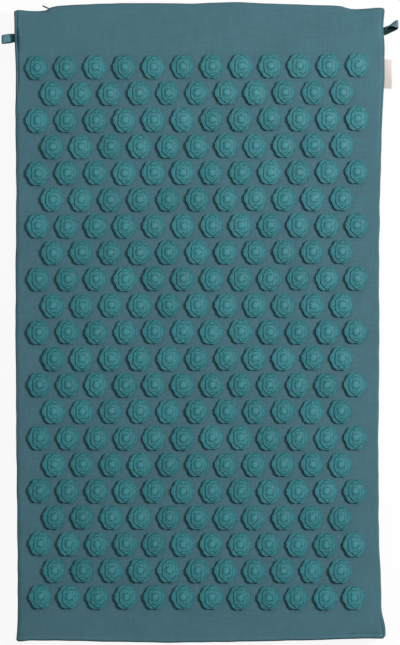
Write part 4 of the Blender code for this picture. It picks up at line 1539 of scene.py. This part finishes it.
class MAT_OT_set_stage(bpy.types.Operator):
    """Set the floor, the lamps and the camera"""

    bl_idname = "mat.set_stage"
    bl_label = "Set Stage"

    def execute(self, context):
        settings = context.scene.mat_stage
        aim = Vector(settings.aim)
        self.lay_floor(settings)
        self.light_sky(context, settings)
        self.hang_lamp("key_lamp", settings.key_place, settings.key_power, settings.key_size, aim)
        self.hang_lamp("fill_lamp", settings.fill_place, settings.fill_power, settings.fill_size, aim)
        data = bpy.data.cameras.new("camera")
        camera = bpy.data.objects.new("camera", data)
        context.collection.objects.link(camera)
        camera.location = aim + Vector((0, 0, settings.distance))
        data.lens = data.sensor_width * settings.distance / settings.view_height
        context.scene.camera = camera
        context.scene.view_settings.view_transform = "Standard"
        return {"FINISHED"}

    def hang_lamp(self, name, spot, power, size, aim):
        data = bpy.data.lights.new(name, "AREA")
        data.shape = "DISK"
        data.energy = power
        data.size = size
        lamp = bpy.data.objects.new(name, data)
        bpy.context.collection.objects.link(lamp)
        lamp.location = spot
        lamp.rotation_euler = (aim - Vector(spot)).to_track_quat("-Z", "Y").to_euler()

    def light_sky(self, context, settings):
        world = context.scene.world or bpy.data.worlds.new("sky")
        context.scene.world = world
        world.use_nodes = True
        sky = Nodes(world.node_tree)
        sky.tree.nodes.clear()
        camera_ray = sky.node("ShaderNodeLightPath", {}, {}, "Is Camera Ray")
        dim = sky.node("ShaderNodeBackground", {}, {"Color": WHITE, "Strength": settings.sky})
        plain = sky.node("ShaderNodeBackground", {}, {"Color": WHITE, "Strength": 1.0})
        both = sky.node("ShaderNodeMixShader", {}, {0: camera_ray, 1: dim, 2: plain})
        sky.node("ShaderNodeOutputWorld", {}, {"Surface": both})

    def lay_floor(self, settings):
        grey, bright = shade(WHITE, settings.floor_grey), shade(WHITE, 0.95)
        paper = Finish("pale_floor", roughness=0.9, specular=0.2)
        fibres = paper.grain(paper.coordinates("Object"), 40, 3)
        camera_ray = paper.node("ShaderNodeLightPath", {}, {}, "Is Camera Ray")
        glossy_ray = paper.node("ShaderNodeLightPath", {}, {}, "Is Glossy Ray")
        pale = paper.blend(camera_ray, grey, bright)
        paper.set("Base Color", paper.blend((fibres + 0.5).clamped() * 0.04, pale, grey))
        glow = paper.node("ShaderNodeEmission", {}, {"Color": WHITE, "Strength": 1.0})
        body = Value(paper, paper.shader.outputs[0])
        share = (camera_ray + glossy_ray).clamped() * settings.floor_glow
        mix = paper.node("ShaderNodeMixShader", {}, {0: share, 1: body, 2: glow})
        paper.plug(paper.tree.nodes["Material Output"].inputs["Surface"], mix)
        spot = (0, 0, -FLOOR_GAP)
        floor = start("floor", bpy.ops.mesh.primitive_plane_add, size=FLOOR_SIZE, location=spot)
        floor.data.materials.append(paper.material)


class MAT_PT_sidebar(bpy.types.Panel):
    """Lists the steps that make the mat"""

    bl_label = "Acupressure Mat"
    bl_space_type = "VIEW_3D"
    bl_region_type = "UI"
    bl_category = "Mat"

    def draw(self, context):
        for operator in OPERATORS:
            self.layout.operator(operator.bl_idname)


SETTINGS = {
    "mat_cover": MatCoverSettings,
    "mat_discs": MatDiscSettings,
    "mat_zip": MatZipSettings,
    "mat_trim": MatTrimSettings,
    "mat_stage": MatStageSettings,
}
OPERATORS = (
    MAT_OT_cut_foam,
    MAT_OT_sew_cover,
    MAT_OT_mould_discs,
    MAT_OT_weave_tapes,
    MAT_OT_cast_slider,
    MAT_OT_fold_loops,
    MAT_OT_fold_label,
    MAT_OT_set_stage,
)


def register():
    for name, group in SETTINGS.items():
        bpy.utils.register_class(group)
        setattr(bpy.types.Scene, name, PointerProperty(type=group))
    for operator in OPERATORS:
        bpy.utils.register_class(operator)
    bpy.utils.register_class(MAT_PT_sidebar)


def unregister():
    bpy.utils.unregister_class(MAT_PT_sidebar)
    for operator in reversed(OPERATORS):
        bpy.utils.unregister_class(operator)
    for name, group in reversed(SETTINGS.items()):
        delattr(bpy.types.Scene, name)
        bpy.utils.unregister_class(group)


def main():
    register()
    bpy.ops.mat.cut_foam()
    bpy.ops.mat.sew_cover()
    bpy.ops.mat.mould_discs()
    bpy.ops.mat.weave_tapes()
    bpy.ops.mat.cast_slider()
    bpy.ops.mat.fold_loops()
    bpy.ops.mat.fold_label()
    bpy.ops.mat.set_stage()


if __name__ == "__main__":
    main()
